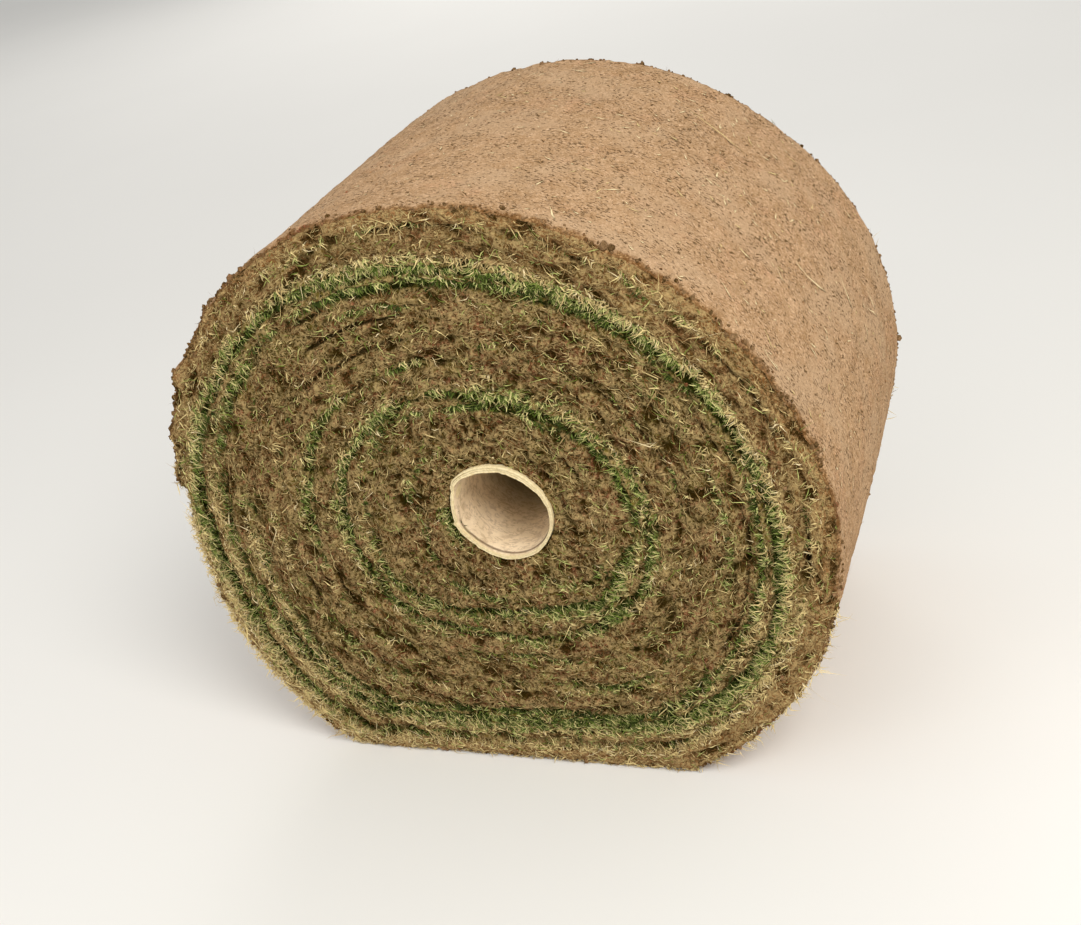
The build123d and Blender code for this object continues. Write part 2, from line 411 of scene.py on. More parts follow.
def end_relief(section, angle, radius, outline, side):
    """How far the cut end stands out at each point, and how much painted shade its hollows and its crevices
    get there.
    """
    turn, above, below = section.layer(angle, radius, outline)
    flat = section.spot(angle, radius, section.half * side)
    spiral = turn + ((section.tail - angle) / tau) % 1.0
    wander = np.stack([spiral * 1.9, np.zeros_like(spiral), np.full_like(spiral, 3.0 * side)], 1)
    shift = 0.0030 * noise(wander, 1.0, 11)
    # Clods and cracks are drawn out along the turns: their noise is read where round is short, radius long
    drawn = np.stack([0.15 * np.cos(angle), radius + 3.0 * side, 0.15 * np.sin(angle)], 1)
    clods = lumps(flat, (0.55, 0.034, 12), (0.3, 0.011, 22))
    clods = section.sizes.clod_height * (clods + lumps(drawn, (1.0, 0.016, 13), (0.7, 0.0085, 14)))
    cracks = np.clip(0.16 - np.abs(noise(drawn, 0.020, 15)), 0, 1) / 0.16
    cracks = 0.0040 * cracks * np.clip(noise(flat, 0.09, 16) + 0.5, 0, 1)
    open_seam = np.clip(0.35 + 0.9 * noise(flat, 0.10, 17), 0.08, 1)
    trough = grass_ground(section, angle, radius)[1]
    # Crevices along the inner side of each grass band: sunk into the relief and painted dark as shade
    under = 0.0070 + 0.0028 * noise(flat, 0.05, 18)
    crevice = open_seam * hump(below, under, 0.0040) * (turn > 0)
    bulge = 0.0020 * ease_between(below, 0.010, 0.022) * ease_between(above, 0.0, 0.010)
    calm = ease_between(radius, section.core, section.core + 0.022)
    # The slit is sunk too, and painted dark as shade
    slit = slit_mask(angle, radius) if side < 0 else 0.0
    sunk = section.sizes.seam_depth * np.maximum(0.8 * crevice, 0.75 * trough)
    detail = clods - cracks - sunk - 0.013 * slit
    high = shift * calm + bulge * calm + detail * (0.35 + 0.65 * calm) - 0.0015
    # Low places of the relief, and the troughs under the grass, get painted shade
    hollow = np.clip(0.42 - (clods - cracks) / (2.2 * section.sizes.clod_height), 0, 1)
    return high, np.maximum(hollow, trough), np.maximum(crevice * (1 - 0.5 * trough), slit)


def end_place(section, around, inward, side):
    """Points of one end, from the bore (0) to the rim (1), with what the soil is like and its painted shade.
    """
    angle, outline, dropped = round_the_roll(section, around)
    radius = section.core + inward * (outline - section.core) - dropped * ease_between(inward, 0.88, 1.0)
    high, hollow, crevice = end_relief(section, angle, radius, outline - dropped, side)
    flat = section.spot(angle, radius, side * (section.half + high))
    rim = outside_place(section, around, np.full(len(angle), 0.0 if side < 0 else 1.0))[0]
    near = ease_between(inward, 0.962, 1.0)[:, None]
    out = flat * (1 - near) + rim * near
    out[:, 2] = np.maximum(out[:, 2], 0.0)
    ragged = radius + 0.006 * noise(flat, 0.03, 19)
    first, second = section.seam_radius(0, angle), section.seam_radius(1, angle)
    dry = 0.62 * ease_between(ragged, first - 0.018, first + 0.008)
    dry = dry + 0.38 * ease_between(ragged, second - 0.004, second + 0.008)
    return out, {"dry": dry, "hollow": hollow, "crevice": crevice}, radius


# Meshes


def link(name, mesh, *materials):
    """A finished mesh as a piece that rides with the roll."""
    for material in materials:
        mesh.materials.append(material)
    piece = bpy.data.objects.new(name, mesh)
    bpy.context.scene.collection.objects.link(piece)
    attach(piece, "root")
    return piece


def add_values(mesh, **values):
    """Numbers that the materials read, one for each vertex."""
    for name, numbers in values.items():
        layer = mesh.attributes.new(name, "FLOAT", "POINT")
        layer.data.foreach_set("value", np.asarray(numbers, np.float32))


def wrapped_grid(name, columns, rows, place):
    """A grid laid round the roll by place(around, across), closed where it meets itself."""
    bm = bmesh.new()
    bmesh.ops.create_grid(bm, x_segments=columns, y_segments=rows, size=0.5)
    mesh = bpy.data.meshes.new(name)
    bm.to_mesh(mesh)
    flat = np.empty(len(mesh.vertices) * 3)
    mesh.vertices.foreach_get("co", flat)
    flat = flat.reshape(-1, 3) + 0.5
    spots, values = place(flat[:, 0], flat[:, 1])
    mesh.vertices.foreach_set("co", spots.ravel())
    add_values(mesh, **values)
    wrap = mesh.uv_layers.new(name="Wrap")
    corners = np.empty(len(mesh.loops), int)
    mesh.loops.foreach_get("vertex_index", corners)
    wrap.data.foreach_set("uv", flat[corners, :2].ravel())
    bm.clear()
    bm.from_mesh(mesh)
    rim = [v for v in bm.verts if v.is_boundary]
    bmesh.ops.remove_doubles(bm, verts=rim, dist=2e-5)
    for face in bm.faces:
        face.smooth = True
    return bm, mesh


def face_outward(bm, mesh, centre):
    """Turns the faces so that they point away from a point, and writes the mesh."""
    some = list(bm.faces)[::97]
    tally = sum(1 if face.normal.dot(face.calc_center_median() - centre) > 0 else -1 for face in some)
    if tally < 0:
        bmesh.ops.reverse_faces(bm, faces=bm.faces[:])
    bm.to_mesh(mesh)
    bm.free()


def bake_cells(mesh, each, u, v):
    """A map for baking: every blade or crumb has its own cell, and its corners lie at u, v inside it."""
    count = len(mesh.loops) // each
    across = int(np.ceil(np.sqrt(count)))
    cell = np.repeat(np.arange(count), each)
    flat = np.stack([(cell % across + 0.1 + 0.8 * np.tile(u, count)) / across,
                     (cell // across + 0.1 + 0.8 * np.tile(v, count)) / across], 1)
    mesh.uv_layers.new(name="OFBake").data.foreach_set("uv", flat.ravel())


def ribbons(name, root, way, bend, curl, up, length, width, tone, segments, limits):
    """Many narrow blades as one mesh, each bent along its length and tapered to a tip."""
    count, tip = len(root), 2 * segments
    spots, along = np.zeros((count, tip + 1, 3)), np.zeros((count, tip + 1))
    for step, part in enumerate(np.linspace(0, 1, segments + 1)):
        middle = root + length[:, None] * (way * part + bend * part ** 2 + curl * sin(tau * part))
        if step == segments:
            spots[:, tip], along[:, tip] = middle, 1.0
            continue
        tangent = way + 2 * bend * part + curl * tau * cos(tau * part)
        half = width * (0.62 + 0.38 * sin(pi * min(1, part * 1.6))) * (1 - part ** 3) / 2
        across = unit(np.cross(tangent, up)) * half[:, None]
        spots[:, 2 * step], spots[:, 2 * step + 1] = middle - across, middle + across
        along[:, 2 * step:2 * step + 2] = part
    spots = np.clip(spots, *limits)
    pattern = [(c, c + 1, c + 3, c + 2) for c in range(0, tip - 2, 2)] + [(tip - 2, tip - 1, tip)]
    firsts = range(0, count * (tip + 1), tip + 1)
    faces = [[first + c for c in face] for first in firsts for face in pattern]
    mesh = bpy.data.meshes.new(name)
    mesh.from_pydata(spots.reshape(-1, 3), [], faces)
    add_values(mesh, tone=np.repeat(tone, tip + 1), along=along.ravel())
    walk = [c for face in pattern for c in face]
    u, v = [0.5 if c == tip else c % 2 for c in walk], [c // 2 / segments for c in walk]
    bake_cells(mesh, len(walk), u, v)
    mesh.polygons.foreach_set("use_smooth", np.ones(len(mesh.polygons), bool))
    return mesh


def crumb_mesh(name, centre, size, tone, seed):
    """Many small crumbs as one mesh, each a pressed and turned ball of twenty faces."""
    random = np.random.default_rng(seed)
    bm = bmesh.new()
    bmesh.ops.create_icosphere(bm, subdivisions=1, radius=1.0)
    ball = np.array([v.co[:] for v in bm.verts])
    faces = np.array([[v.index for v in f.verts] for f in bm.faces])
    bm.free()
    count = len(centre)
    turned = np.linalg.qr(random.normal(size=(count, 3, 3)))[0]
    turned[np.linalg.det(turned) < 0] *= -1
    pressed = ball[None] * random.uniform(0.6, 1.0, (count, 1, 3))
    pressed = pressed * random.uniform(0.75, 1.15, (count, len(ball), 1))
    spots = centre[:, None] + size[:, None, None] * np.einsum("nij,nkj->nki", turned, pressed)
    spots[:, :, 2] = np.maximum(spots[:, :, 2], 0.0)
    corners = np.arange(count)[:, None, None] * len(ball) + faces
    mesh = bpy.data.meshes.new(name)
    mesh.from_pydata(spots.reshape(-1, 3), [], corners.reshape(-1, 3).tolist())
    add_values(mesh, tone=np.repeat(tone, len(ball)))
    # The triangles of a crumb lie in five columns and four rows of its cell
    number = np.arange(len(faces))
    u = (np.repeat(number % 5, 3) + np.tile((0.1, 0.9, 0.5), len(faces))) / 5
    v = (np.repeat(number // 5, 3) + np.tile((0.1, 0.1, 0.9), len(faces))) / 4
    bake_cells(mesh, 3 * len(faces), u, v)
    return mesh


# Scattering


def spread_over_end(section, random, count):
    """Random places over an end, even by area: angle, radius and outline."""
    angle = random.uniform(0, tau, count * 2)
    outline = section.rim_radius(angle)
    keep = random.uniform(0, outline.max() ** 2, len(angle)) < outline ** 2
    angle, outline = angle[keep][:count], outline[keep][:count]
    least, most = section.core ** 2, (outline - 0.004) ** 2
    return angle, np.sqrt(least + random.uniform(0, 1, len(angle)) * (most - least)), outline


def band_at(section, turn, angle):
    """The grassy band on a turn: its middle and half width in metres, lushness of green and of straw."""
    at, *columns = np.array(GRASS_BANDS[turn], float).T
    tail = np.degrees(section.tail)
    back = (tail - at) % 360
    order = np.argsort(back)
    along = (tail - np.degrees(angle)) % 360
    middle, half, green, straw = (np.interp(along, back[order], column[order]) for column in columns)
    return middle / 1000, half / 1000, green, straw


def grass_ground(section, angle, radius):
    """How grassy each place of an end is, and how deep it lies in the trough under the grass."""
    total, trough = np.zeros(len(angle)), np.zeros(len(angle))
    for turn in range(len(GRASS_BANDS)):
        middle, half, green, _ = band_at(section, turn, angle)
        off = radius - section.seam_radius(turn, angle) - middle
        total = np.maximum(total, green * (1 - ease_between(np.abs(off), 0.8 * half, 1.1 * half + 0.005)))
        under = hump(off, -0.5 * half, 0.6 * half + 0.002)
        trough = np.maximum(trough, np.minimum(1, green) * under)
    return total, trough


def on_end(section, angle, radius, side, sunk=0.001):
    """Points on the relief of an end, a little sunk into it."""
    outline = section.rim_radius(angle)
    high = end_relief(section, angle, radius, outline, side)[0]
    rim = ease_between(radius, outline - 0.016, outline)
    high = high * (1 - rim) - 0.004 * rim
    return section.spot(angle, radius, side * (section.half + high - sunk))


def directions(angle):
    """Outward and onward round the roll, at each angle."""
    nought = np.zeros_like(angle)
    outward = np.stack([np.cos(angle), nought, np.sin(angle)], 1)
    onward = np.stack([-np.sin(angle), nought, np.cos(angle)], 1)
    return outward, onward


def tufts(section, random, total, which, each):
    """Blades in tufts along the grassy bands: angle, radius, lushness, the number of each one's tuft, how
    far it lies to the band's outer side and how much room the turns leave. Straw lies to the outer side."""
    step = np.radians(0.5)
    grid = np.arange(0, tau, step)
    share, seams, rooms, bands = [], [], [], []
    for turn in range(len(GRASS_BANDS)):
        middle, half, green, straw = band_at(section, turn, grid)
        seam = section.seam_radius(turn, grid)
        lush = green if which == "green" else straw
        share.append(lush ** 1.2 * seam * (half + 0.003 if which == "green" else 0.012))
        seams.append(seam)
        rooms.append(np.clip((seam - section.seam_radius(turn + 1, grid)) / 0.042, 0.5, 1))
        bands.append((middle, half, lush))
    share, seams, rooms = (np.concatenate(v) for v in (share, seams, rooms))
    middle, half, lush = (np.concatenate(v) for v in zip(*bands))
    pick = random.choice(len(share), int(total / each), p=share / share.sum())
    angle = np.tile(grid, len(GRASS_BANDS))[pick] + random.uniform(0, step, len(pick))
    middle, half, lush, seam, snug = (v[pick] for v in (middle, half, lush, seams, rooms))
    if which == "green":
        off = np.clip(random.normal(-0.1, 0.74, len(pick)), -1.7, 1.5)
        radius = seam + middle + off * half
    else:
        off = np.clip(random.normal(0, 1, len(pick)), -2, 2)
        radius = seam + middle + half + (0.005 + 0.0034 * off) * snug
    patch = noise(section.spot(angle, radius, 0.0), 0.045, 21) * 0.5 + 0.5
    keep = np.nonzero(random.uniform(0, 1, len(pick)) < np.clip(0.1 + 0.9 * patch + 0.5 * lush, 0, 1))[0]
    tuft = np.repeat(np.arange(len(keep)), each)
    angle, radius, lush, off, snug = (v[keep][tuft] for v in (angle, radius, lush, off, snug))
    angle = angle + random.normal(0, 0.0024, len(tuft)) / radius
    return angle, radius + random.normal(0, 0.0020, len(tuft)) * snug, lush, tuft, off, snug


def limits_of(section):
    """Lowest and highest corner that loose blades may reach."""
    past = section.half + BLADE_PAST
    return (-BLADE_SIDE, -past, 0.0008), (BLADE_SIDE, past, ROLL_HIGH.z + BLADE_RISE)


def laid(section, name, side, angle, radius, turned, lean, sway, wave, length, width, tone, segments, random,
         droop, flatness, sunk):
    """Blades rooted on an end, each turned so far from outward, leaning out and drooping back to it."""
    outward, onward = directions(angle)
    out = np.array((0.0, float(side), 0.0))
    turned, lean, sway = turned[:, None], lean[:, None], sway[:, None]
    flat = outward * np.cos(turned) + onward * np.sin(turned)
    beside = onward * np.cos(turned) - outward * np.sin(turned)
    way = flat * np.cos(lean) + out * np.sin(lean)
    bend = -out * droop * np.sin(lean) + beside * sway
    up = unit(out + unit(random.normal(size=(len(angle), 3))) * flatness)
    root = on_end(section, angle, radius, side, sunk)
    curl = beside * wave[:, None]
    return ribbons(name, root, way, bend, curl, up, length, width, tone, segments, limits_of(section))


def grow_grass(section, name, side, total, segments, seed):
    """Tufts of grass blades from the seams, bent over and out of the end."""
    random = np.random.default_rng(seed)
    angle, radius, lush, tuft, off, snug = tufts(section, random, total, "green", GRASS_TUFT)
    count, several = len(angle), tuft.max() + 1
    turned = pi + random.normal(0, 0.55, several)[tuft] + random.normal(0, 0.45, count)
    lean = random.normal(34, 13, several)[tuft] + random.normal(0, 15, count)
    lean = np.radians(np.clip(lean, 2, 78))
    length = section.sizes.blade_length * random.uniform(0.75, 1.1, several)[tuft]
    length = length * random.uniform(0.6, 1.15, count)
    length = length * (0.72 + 0.28 * lush) * (0.3 + 0.7 * snug)
    width = section.sizes.blade_width * random.uniform(0.6, 1.2, count)
    # Shaded blades take deep green tones: painted shade, more of them toward the band's inner side
    shaded = random.uniform(0, 1, count) < 0.5 - 0.3 * off
    tone = np.where(shaded, random.normal(0.10, 0.10, count), random.normal(0.54, 0.16, count))
    tone = np.clip(tone + 0.18 * off + random.normal(0, 0.12, several)[tuft], 0, 1)
    sway, wave = random.normal(0, 0.35, count), random.normal(0, 0.03, count)
    return laid(section, name, side, angle, radius + 0.003, turned, lean, sway, wave, length, width, tone,
                segments, random, droop=0.6, flatness=0.7, sunk=0.003)


def away_from_core(section, radius, turned):
    """Turns blades outward that would hang over the core's mouth."""
    inward = (radius < section.core + CLEAR_OF_CORE) & (np.cos(turned) < 0)
    return np.where(inward, pi - turned, turned)


def lay_thatch(section, name, side, total, segments, seed):
    """Dead blades: a pale fringe outside the seams and over parts of the rim, and a tangle on the soil."""
    random = np.random.default_rng(seed)
    tufted = int(total * TUFTED_SHARE)
    angle, radius, _, tuft, _, snug = tufts(section, random, tufted, "straw", STRAW_TUFT)
    turned = pi + random.normal(0, 0.6, tuft.max() + 1)[tuft] + random.normal(0, 0.6, len(angle))
    for start, end, lushness in RIM_ARCS:
        number = int(total * RIM_STRAWS * (end - start) * lushness * (1.0 if side < 0 else 0.4))
        round_it = np.radians(random.uniform(start, end, number))
        inward = np.abs(random.normal(0.004, 0.006, number))
        angle, radius = np.append(angle, round_it), np.append(radius, section.rim_radius(round_it) - inward)
        turned = np.append(turned, random.uniform(-pi, pi, number))
    fringe = len(angle)

    rest = max(0, total - fringe)
    round_it, away, outline = spread_over_end(section, random, int(rest * 1.7))
    place = section.spot(round_it, away, 0.0)
    above = section.layer(round_it, away, outline)[1]
    likely = 0.40 + lumps(place, (1.0, 0.045, 31), (0.5, 0.018, 32)) + 0.4 * hump(above, 0.0, 0.012)
    green = np.minimum(1, grass_ground(section, round_it, away)[0])
    keep = random.uniform(0, 1, len(round_it)) < np.clip(likely + 0.15 * green, 0.06, 1)
    round_it, away, green = (v[keep][:rest] for v in (round_it, away, green))
    spare = len(round_it)
    angle, radius = np.append(angle, round_it), np.append(radius, away)
    onward = random.uniform(0, 1, spare) < 0.5
    loose = np.where(onward, random.normal(pi / 2, 0.5, spare), random.uniform(-pi, pi, spare))
    turned = np.append(turned, loose)
    count = len(angle)
    lined, snug = 1.0 * (np.arange(count) < fringe), np.append(snug, np.ones(count - len(snug)))
    mossy = np.append(np.zeros(fringe), 0.25 + 0.6 * green)
    over_rim = (radius > section.rim_radius(angle) - CLEAR_OF_RIM) & (np.cos(turned) > -0.2)
    turned = np.where((lined == 0) & over_rim, pi - turned, turned)
    turned = away_from_core(section, radius, turned)

    length = section.sizes.fibre_length * np.exp(random.normal(0, 0.42, count))
    length = length * (1.15 - 0.05 * lined) * (0.4 + 0.6 * snug)
    width = section.sizes.fibre_width * random.uniform(0.6, 1.3, count) * (1 + 0.35 * lined)
    pale = random.uniform(0, 1, count) < 0.33
    loose = np.where(pale, random.normal(0.84, 0.12, count), random.normal(0.26, 0.18, count))
    tone = np.clip(np.where(lined > 0, random.normal(0.86, 0.14, count), loose), 0, 1)
    still_green = random.uniform(0, 1, count) < mossy
    tone = np.where(still_green, MOSSY_TONE + random.uniform(0, MOSSY_SPREAD, count), tone)
    tone = np.where(random.uniform(0, 1, count) < 0.028 + 0.06 * lined, BLEACHED_TONE, tone)
    lean = np.radians(random.uniform(4, 40, count))
    sway, wave = random.normal(0, 0.5, count), random.normal(0, 0.09, count)
    return laid(section, name, side, angle, radius, turned, lean, sway, wave, length, width, tone,
                segments, random, droop=0.9, flatness=0.6, sunk=0.0008)


def lay_roots(section, name, side, total, segments, seed):
    """Fine roots in the cut soil, most of them lying along the turns."""
    random = np.random.default_rng(seed)
    angle, radius, outline = spread_over_end(section, random, int(total * 1.5))
    place = section.spot(angle, radius, 0.0)
    likely = 0.60 + lumps(place, (0.9, 0.040, 33), (0.4, 0.015, 34))
    likely = likely - np.minimum(1, grass_ground(section, angle, radius)[0])
    keep = random.uniform(0, 1, len(angle)) < np.clip(likely, 0.03, 1)
    angle, radius, outline = (v[keep][:total] for v in (angle, radius, outline))
    count = len(angle)
    onward = random.uniform(0, 1, count) < 0.72
    turned = np.where(onward, random.normal(pi / 2, 0.34, count), random.uniform(-pi, pi, count))
    turned = turned + pi * (random.uniform(0, 1, count) < 0.5)
    turned = np.where((radius > outline - 0.012) & (np.cos(turned) > 0), pi - turned, turned)
    turned = away_from_core(section, radius, turned)
    length = section.sizes.root_length * np.exp(random.normal(0, 0.35, count))
    width = section.sizes.root_width * random.uniform(0.6, 1.4, count)
    pale = random.uniform(0, 1, count) < 0.4
    tone = np.where(pale, random.normal(0.74, 0.12, count), random.normal(0.32, 0.14, count))
    tone = np.clip(tone, 0, 0.98)
    lean = np.radians(random.uniform(0, 22, count))
    sway, wave = random.normal(0, 0.35, count), random.normal(0, 0.05, count)
    return laid(section, name, side, angle, radius, turned, lean, sway, wave, length, width, tone,
                segments, random, droop=1.2, flatness=0.5, sunk=0.0003)


def lay_straws(section, name, count, random):
    """Bits of straw pressed flat on the outside, bent to the roll, a few of them much longer."""
    around, along = random.uniform(0, 1, count), random.uniform(0.03, 0.97, count)
    root = outside_place(section, around, along)[0]
    outward, onward = directions(section.tail + tau * around)
    turned = random.normal(0, 0.75, count)[:, None]
    flat = onward * np.cos(turned) + np.array((0.0, 1.0, 0.0)) * np.sin(turned)
    beside = np.cross(outward, flat)
    length = 0.011 * np.exp(random.normal(0, 0.55, count))
    length = length * np.where(random.uniform(0, 1, count) < 0.07, 2.6, 1.0)
    roll_curve = 0.55   # metres, a little flatter than the roll itself
    sag = (length / roll_curve)[:, None] * 0.5 - 0.02
    bend = beside * random.normal(0, 0.25, count)[:, None] - outward * sag
    curl = beside * random.normal(0, 0.03, count)[:, None]
    width = random.uniform(0.0014, 0.0028, count)
    tone = np.where(random.uniform(0, 1, count) < 0.8, BLEACHED_TONE, 0.95)
    limits = (-STRAW_SIDE, -section.half, 0.001), (STRAW_SIDE, section.half, ROLL_HIGH.z + BLADE_RISE)
    return ribbons(name, root + outward * 0.0004, flat + outward * 0.03, bend, curl, outward, length, width,
                   tone, 3, limits)


def scatter_crumbs(section, name, count, random):
    """Loose crumbs: half of them on the two rims, a third on the ends, the rest, smaller, on the outside."""
    rim, on_ends = int(count * 0.5), int(count * 0.34)
    rest = count - rim - on_ends
    around, along = random.uniform(0, 1, rim), np.abs(random.normal(0, 0.012, rim))
    along = np.where(random.uniform(0, 1, rim) < 0.65, along, 1 - along)
    edge = outside_place(section, around, along)[0]
    angle, radius, _ = spread_over_end(section, random, on_ends)
    far, near = on_end(section, angle[::4], radius[::4], 1), on_end(section, angle, radius, -1)
    ends = np.concatenate([far, near])
    around, along = random.uniform(0, 1, rest), random.uniform(0.02, 0.98, rest)
    outer = outside_place(section, around, along)[0]
    centre = np.concatenate([edge, ends, outer])
    size = 0.0022 * np.exp(random.normal(0, 0.42, len(centre)))
    size[-len(outer):] *= 0.6
    size[:rim] *= 1.2
    tones = (edge, 0.0, 0.35), (ends, 0.0, 0.4), (outer, 0.6, 1.0)
    tone = np.concatenate([random.uniform(low, high, len(some)) for some, low, high in tones])
    return crumb_mesh(name, centre, size, tone, 62)


# Materials


def add(tree, kind, inputs=None, **settings):
    """A node with its settings, and its inputs given as values or as sockets to link."""
    made = tree.nodes.new(kind)
    for name, value in settings.items():
        setattr(made, name, value)
    for name, value in (inputs or {}).items():
        if isinstance(value, bpy.types.NodeSocket):
            tree.links.new(value, made.inputs[name])
        else:
            made.inputs[name].default_value = value
    return made


def maths(tree, operation, first, second=0.0, third=0.0, clamp=False):
    """One step of arithmetic with numbers or sockets."""
    inputs = {0: first, 1: second, 2: third}
    return add(tree, "ShaderNodeMath", inputs, operation=operation, use_clamp=clamp).outputs[0]


def times(tree, first, second, clamp=False):
    return maths(tree, "MULTIPLY", first, second, clamp=clamp)


def vector_maths(tree, operation, *inputs):
    return add(tree, "ShaderNodeVectorMath", dict(enumerate(inputs)), operation=operation).outputs[0]


def object_place(tree):
    return add(tree, "ShaderNodeTexCoord").outputs["Object"]


def wrap_place(tree):
    """Round the roll and across it, each from 0 to 1."""
    return add(tree, "ShaderNodeUVMap", uv_map="Wrap").outputs["UV"]


def stretched(tree, vector, scale, start=(0.0, 0.0, 0.0)):
    return add(tree, "ShaderNodeMapping", {"Vector": vector, "Location": start, "Scale": scale}).outputs[0]


def per_metre(wrap_span, around, across):
    """The scale that gives the wrap so many grains a metre round the roll and across it."""
    return wrap_span[0] * around, wrap_span[1] * across, 1.0


def tinted(colour, *shares):
    """A colour with its parts made stronger or weaker, all three alike where one share is given."""
    shares = shares if len(shares) == 3 else 3 * shares
    return tuple(min(1, part * share) for part, share in zip(colour, shares))


def between(tree, share, first, second, blend="MIX"):
    """Two colours mixed by a share."""
    made = add(tree, "ShaderNodeMix", data_type="RGBA", blend_type=blend)
    for place, value in ((0, share), (6, first), (7, second)):
        if isinstance(value, bpy.types.NodeSocket):
            tree.links.new(value, made.inputs[place])
        else:
            made.inputs[place].default_value = value if place == 0 else (*value[:3], 1.0)
    return made.outputs[2]


def span(tree, value, low, high, to_low=0.0, to_high=1.0):
    """A value eased from one number to another as it goes from low to high."""
    inputs = {"Value": value, "From Min": low, "From Max": high, "To Min": to_low, "To Max": to_high}
    return add(tree, "ShaderNodeMapRange", inputs, interpolation_type="SMOOTHSTEP").outputs[0]


def grain(tree, where, scale, detail=3.0, rough=0.55, distortion=0.0):
    """Noise from 0 to 1 round a half, so many grains a metre."""
    inputs = {
        "Vector": where, "Scale": scale, "Detail": detail, "Roughness": rough, "Distortion": distortion}
    return add(tree, "ShaderNodeTexNoise", inputs).outputs["Fac"]


def value_of(tree, name):
    """A number that was written for each vertex."""
    return add(tree, "ShaderNodeAttribute", attribute_name=name).outputs["Fac"]


def shade_ramp(tree, share, *stops):
    """A colour read between stops, each told as its place and its colour."""
    made = add(tree, "ShaderNodeValToRGB", {"Fac": share})
    points = made.color_ramp.elements
    while len(points) < len(stops):
        points.new(0.5)
    for point, (place, colour) in zip(points, stops):
        point.position, point.color = place, (*colour[:3], 1.0)
    return made.outputs["Color"]


def new_group(name, inputs, outputs):
    """An empty shader node group with named sockets, and its two end nodes."""
    group = bpy.data.node_groups.new(name, "ShaderNodeTree")
    for socket, kind in inputs:
        group.interface.new_socket(socket, in_out="INPUT", socket_type=kind)
    for socket, kind in outputs:
        group.interface.new_socket(socket, in_out="OUTPUT", socket_type=kind)
    return group, add(group, "NodeGroupInput"), add(group, "NodeGroupOutput")


def soil_grain_group():
    """Crumbled soil: its colour, mottled and darkened as painted shade between its crumbs, and its height.
    """
    if "Soil grain" in bpy.data.node_groups:
        return bpy.data.node_groups["Soil grain"]
    colour, number, vector = "NodeSocketColor", "NodeSocketFloat", "NodeSocketVector"
    inputs = (("Place", vector), ("Pale", colour), ("Dark", colour), ("Patch", colour), ("Crumb", number),
              ("Gaps", number))
    group, given, result = new_group("Soil grain", inputs, (("Colour", colour), ("Height", number)))
    where = given.outputs["Place"]
    stir = add(group, "ShaderNodeTexNoise", {"Vector": where, "Scale": 160.0, "Detail": 2.0})
    stirred = vector_maths(group, "MULTIPLY_ADD", stir.outputs["Color"], (0.0045, 0.0045, 0.0045), where)
    crumbs = add(group, "ShaderNodeTexVoronoi", {"Vector": stirred, "Scale": 250.0})
    fine = grain(group, where, 620.0, 3.0, 0.6)
    crumb = grain(group, where, 210.0, 4.0, 0.62, 0.3)
    broad = grain(group, where, 38.0, 4.0, 0.6)
    patch = span(group, grain(group, where, 15.0, 3.0, 0.6, 0.4), 0.50, 0.66)
    tint = between(group, patch, given.outputs["Pale"], given.outputs["Patch"])
    lightness = maths(group, "MULTIPLY_ADD", crumb, 0.4, times(group, broad, 0.3))
    lightness = maths(group, "MULTIPLY_ADD", fine, 0.3, lightness)
    tint = between(group, span(group, lightness, 0.56, 0.42), tint, given.outputs["Dark"])
    # The dark between the crumbs is painted shade
    split = add(group, "ShaderNodeSeparateColor", {"Color": crumbs.outputs["Color"]}).outputs[0]
    gap_shade = maths(group, "MULTIPLY_ADD", split, 0.35, crumbs.outputs["Distance"])
    gap_shade = times(group, span(group, gap_shade, 0.42, 0.80), given.outputs["Gaps"], clamp=True)
    tint = between(group, gap_shade, tint, given.outputs["Dark"])
    group.links.new(tint, result.inputs["Colour"])
    height = maths(group, "MULTIPLY_ADD", crumb, given.outputs["Crumb"], times(group, fine, 0.25))
    height = maths(group, "SUBTRACT", height, times(group, gap_shade, 0.5))
    group.links.new(height, result.inputs["Height"])
    return group


def root_lines_group():
    """Fine winding lines, as roots make in cut soil: a mask."""
    if "Root lines" in bpy.data.node_groups:
        return bpy.data.node_groups["Root lines"]
    inputs = ("Place", "NodeSocketVector"), ("Scale", "NodeSocketFloat"), ("Width", "NodeSocketFloat")
    group, given, result = new_group("Root lines", inputs, (("Mask", "NodeSocketFloat"),))
    total = None
    for shift, share in (((0.0, 0.0, 0.0), 1.0), ((3.1, 7.7, 1.9), 0.63)):
        moved = vector_maths(group, "ADD", given.outputs["Place"], shift)
        scale = times(group, given.outputs["Scale"], share)
        winding = {"Vector": moved, "Scale": scale, "Detail": 1.0, "Distortion": 0.8}
        winding = add(group, "ShaderNodeTexNoise", winding).outputs["Fac"]
        line = maths(group, "ABSOLUTE", maths(group, "SUBTRACT", winding, 0.5))
        line = add(group, "ShaderNodeMapRange", {
            "Value": line, "From Min": 0.0, "From Max": given.outputs["Width"],
            "To Min": 1.0, "To Max": 0.0}).outputs[0]
        total = line if total is None else maths(group, "MAXIMUM", total, line)
    group.links.new(total, result.inputs["Mask"])
    return group


def new_material(name, rough=0.95, shine=0.05):
    """An empty material, its tree and its shader."""
    material = bpy.data.materials.new(name)
    material.use_nodes = True
    tree = material.node_tree
    shader = tree.nodes["Principled BSDF"]
    shader.inputs["Roughness"].default_value = rough
    shader.inputs["Specular IOR Level"].default_value = shine
    return material, tree, shader


def finish_material(tree, shader, colour, height=None, distance=0.001, strength=1.0):
    """Gives the shader its colour, and bump from a height where there is one."""
    tree.links.new(colour, shader.inputs["Base Color"])
    if height is not None:
        bump = add(tree, "ShaderNodeBump", {"Height": height, "Distance": distance, "Strength": strength})
        tree.links.new(bump.outputs[0], shader.inputs["Normal"])


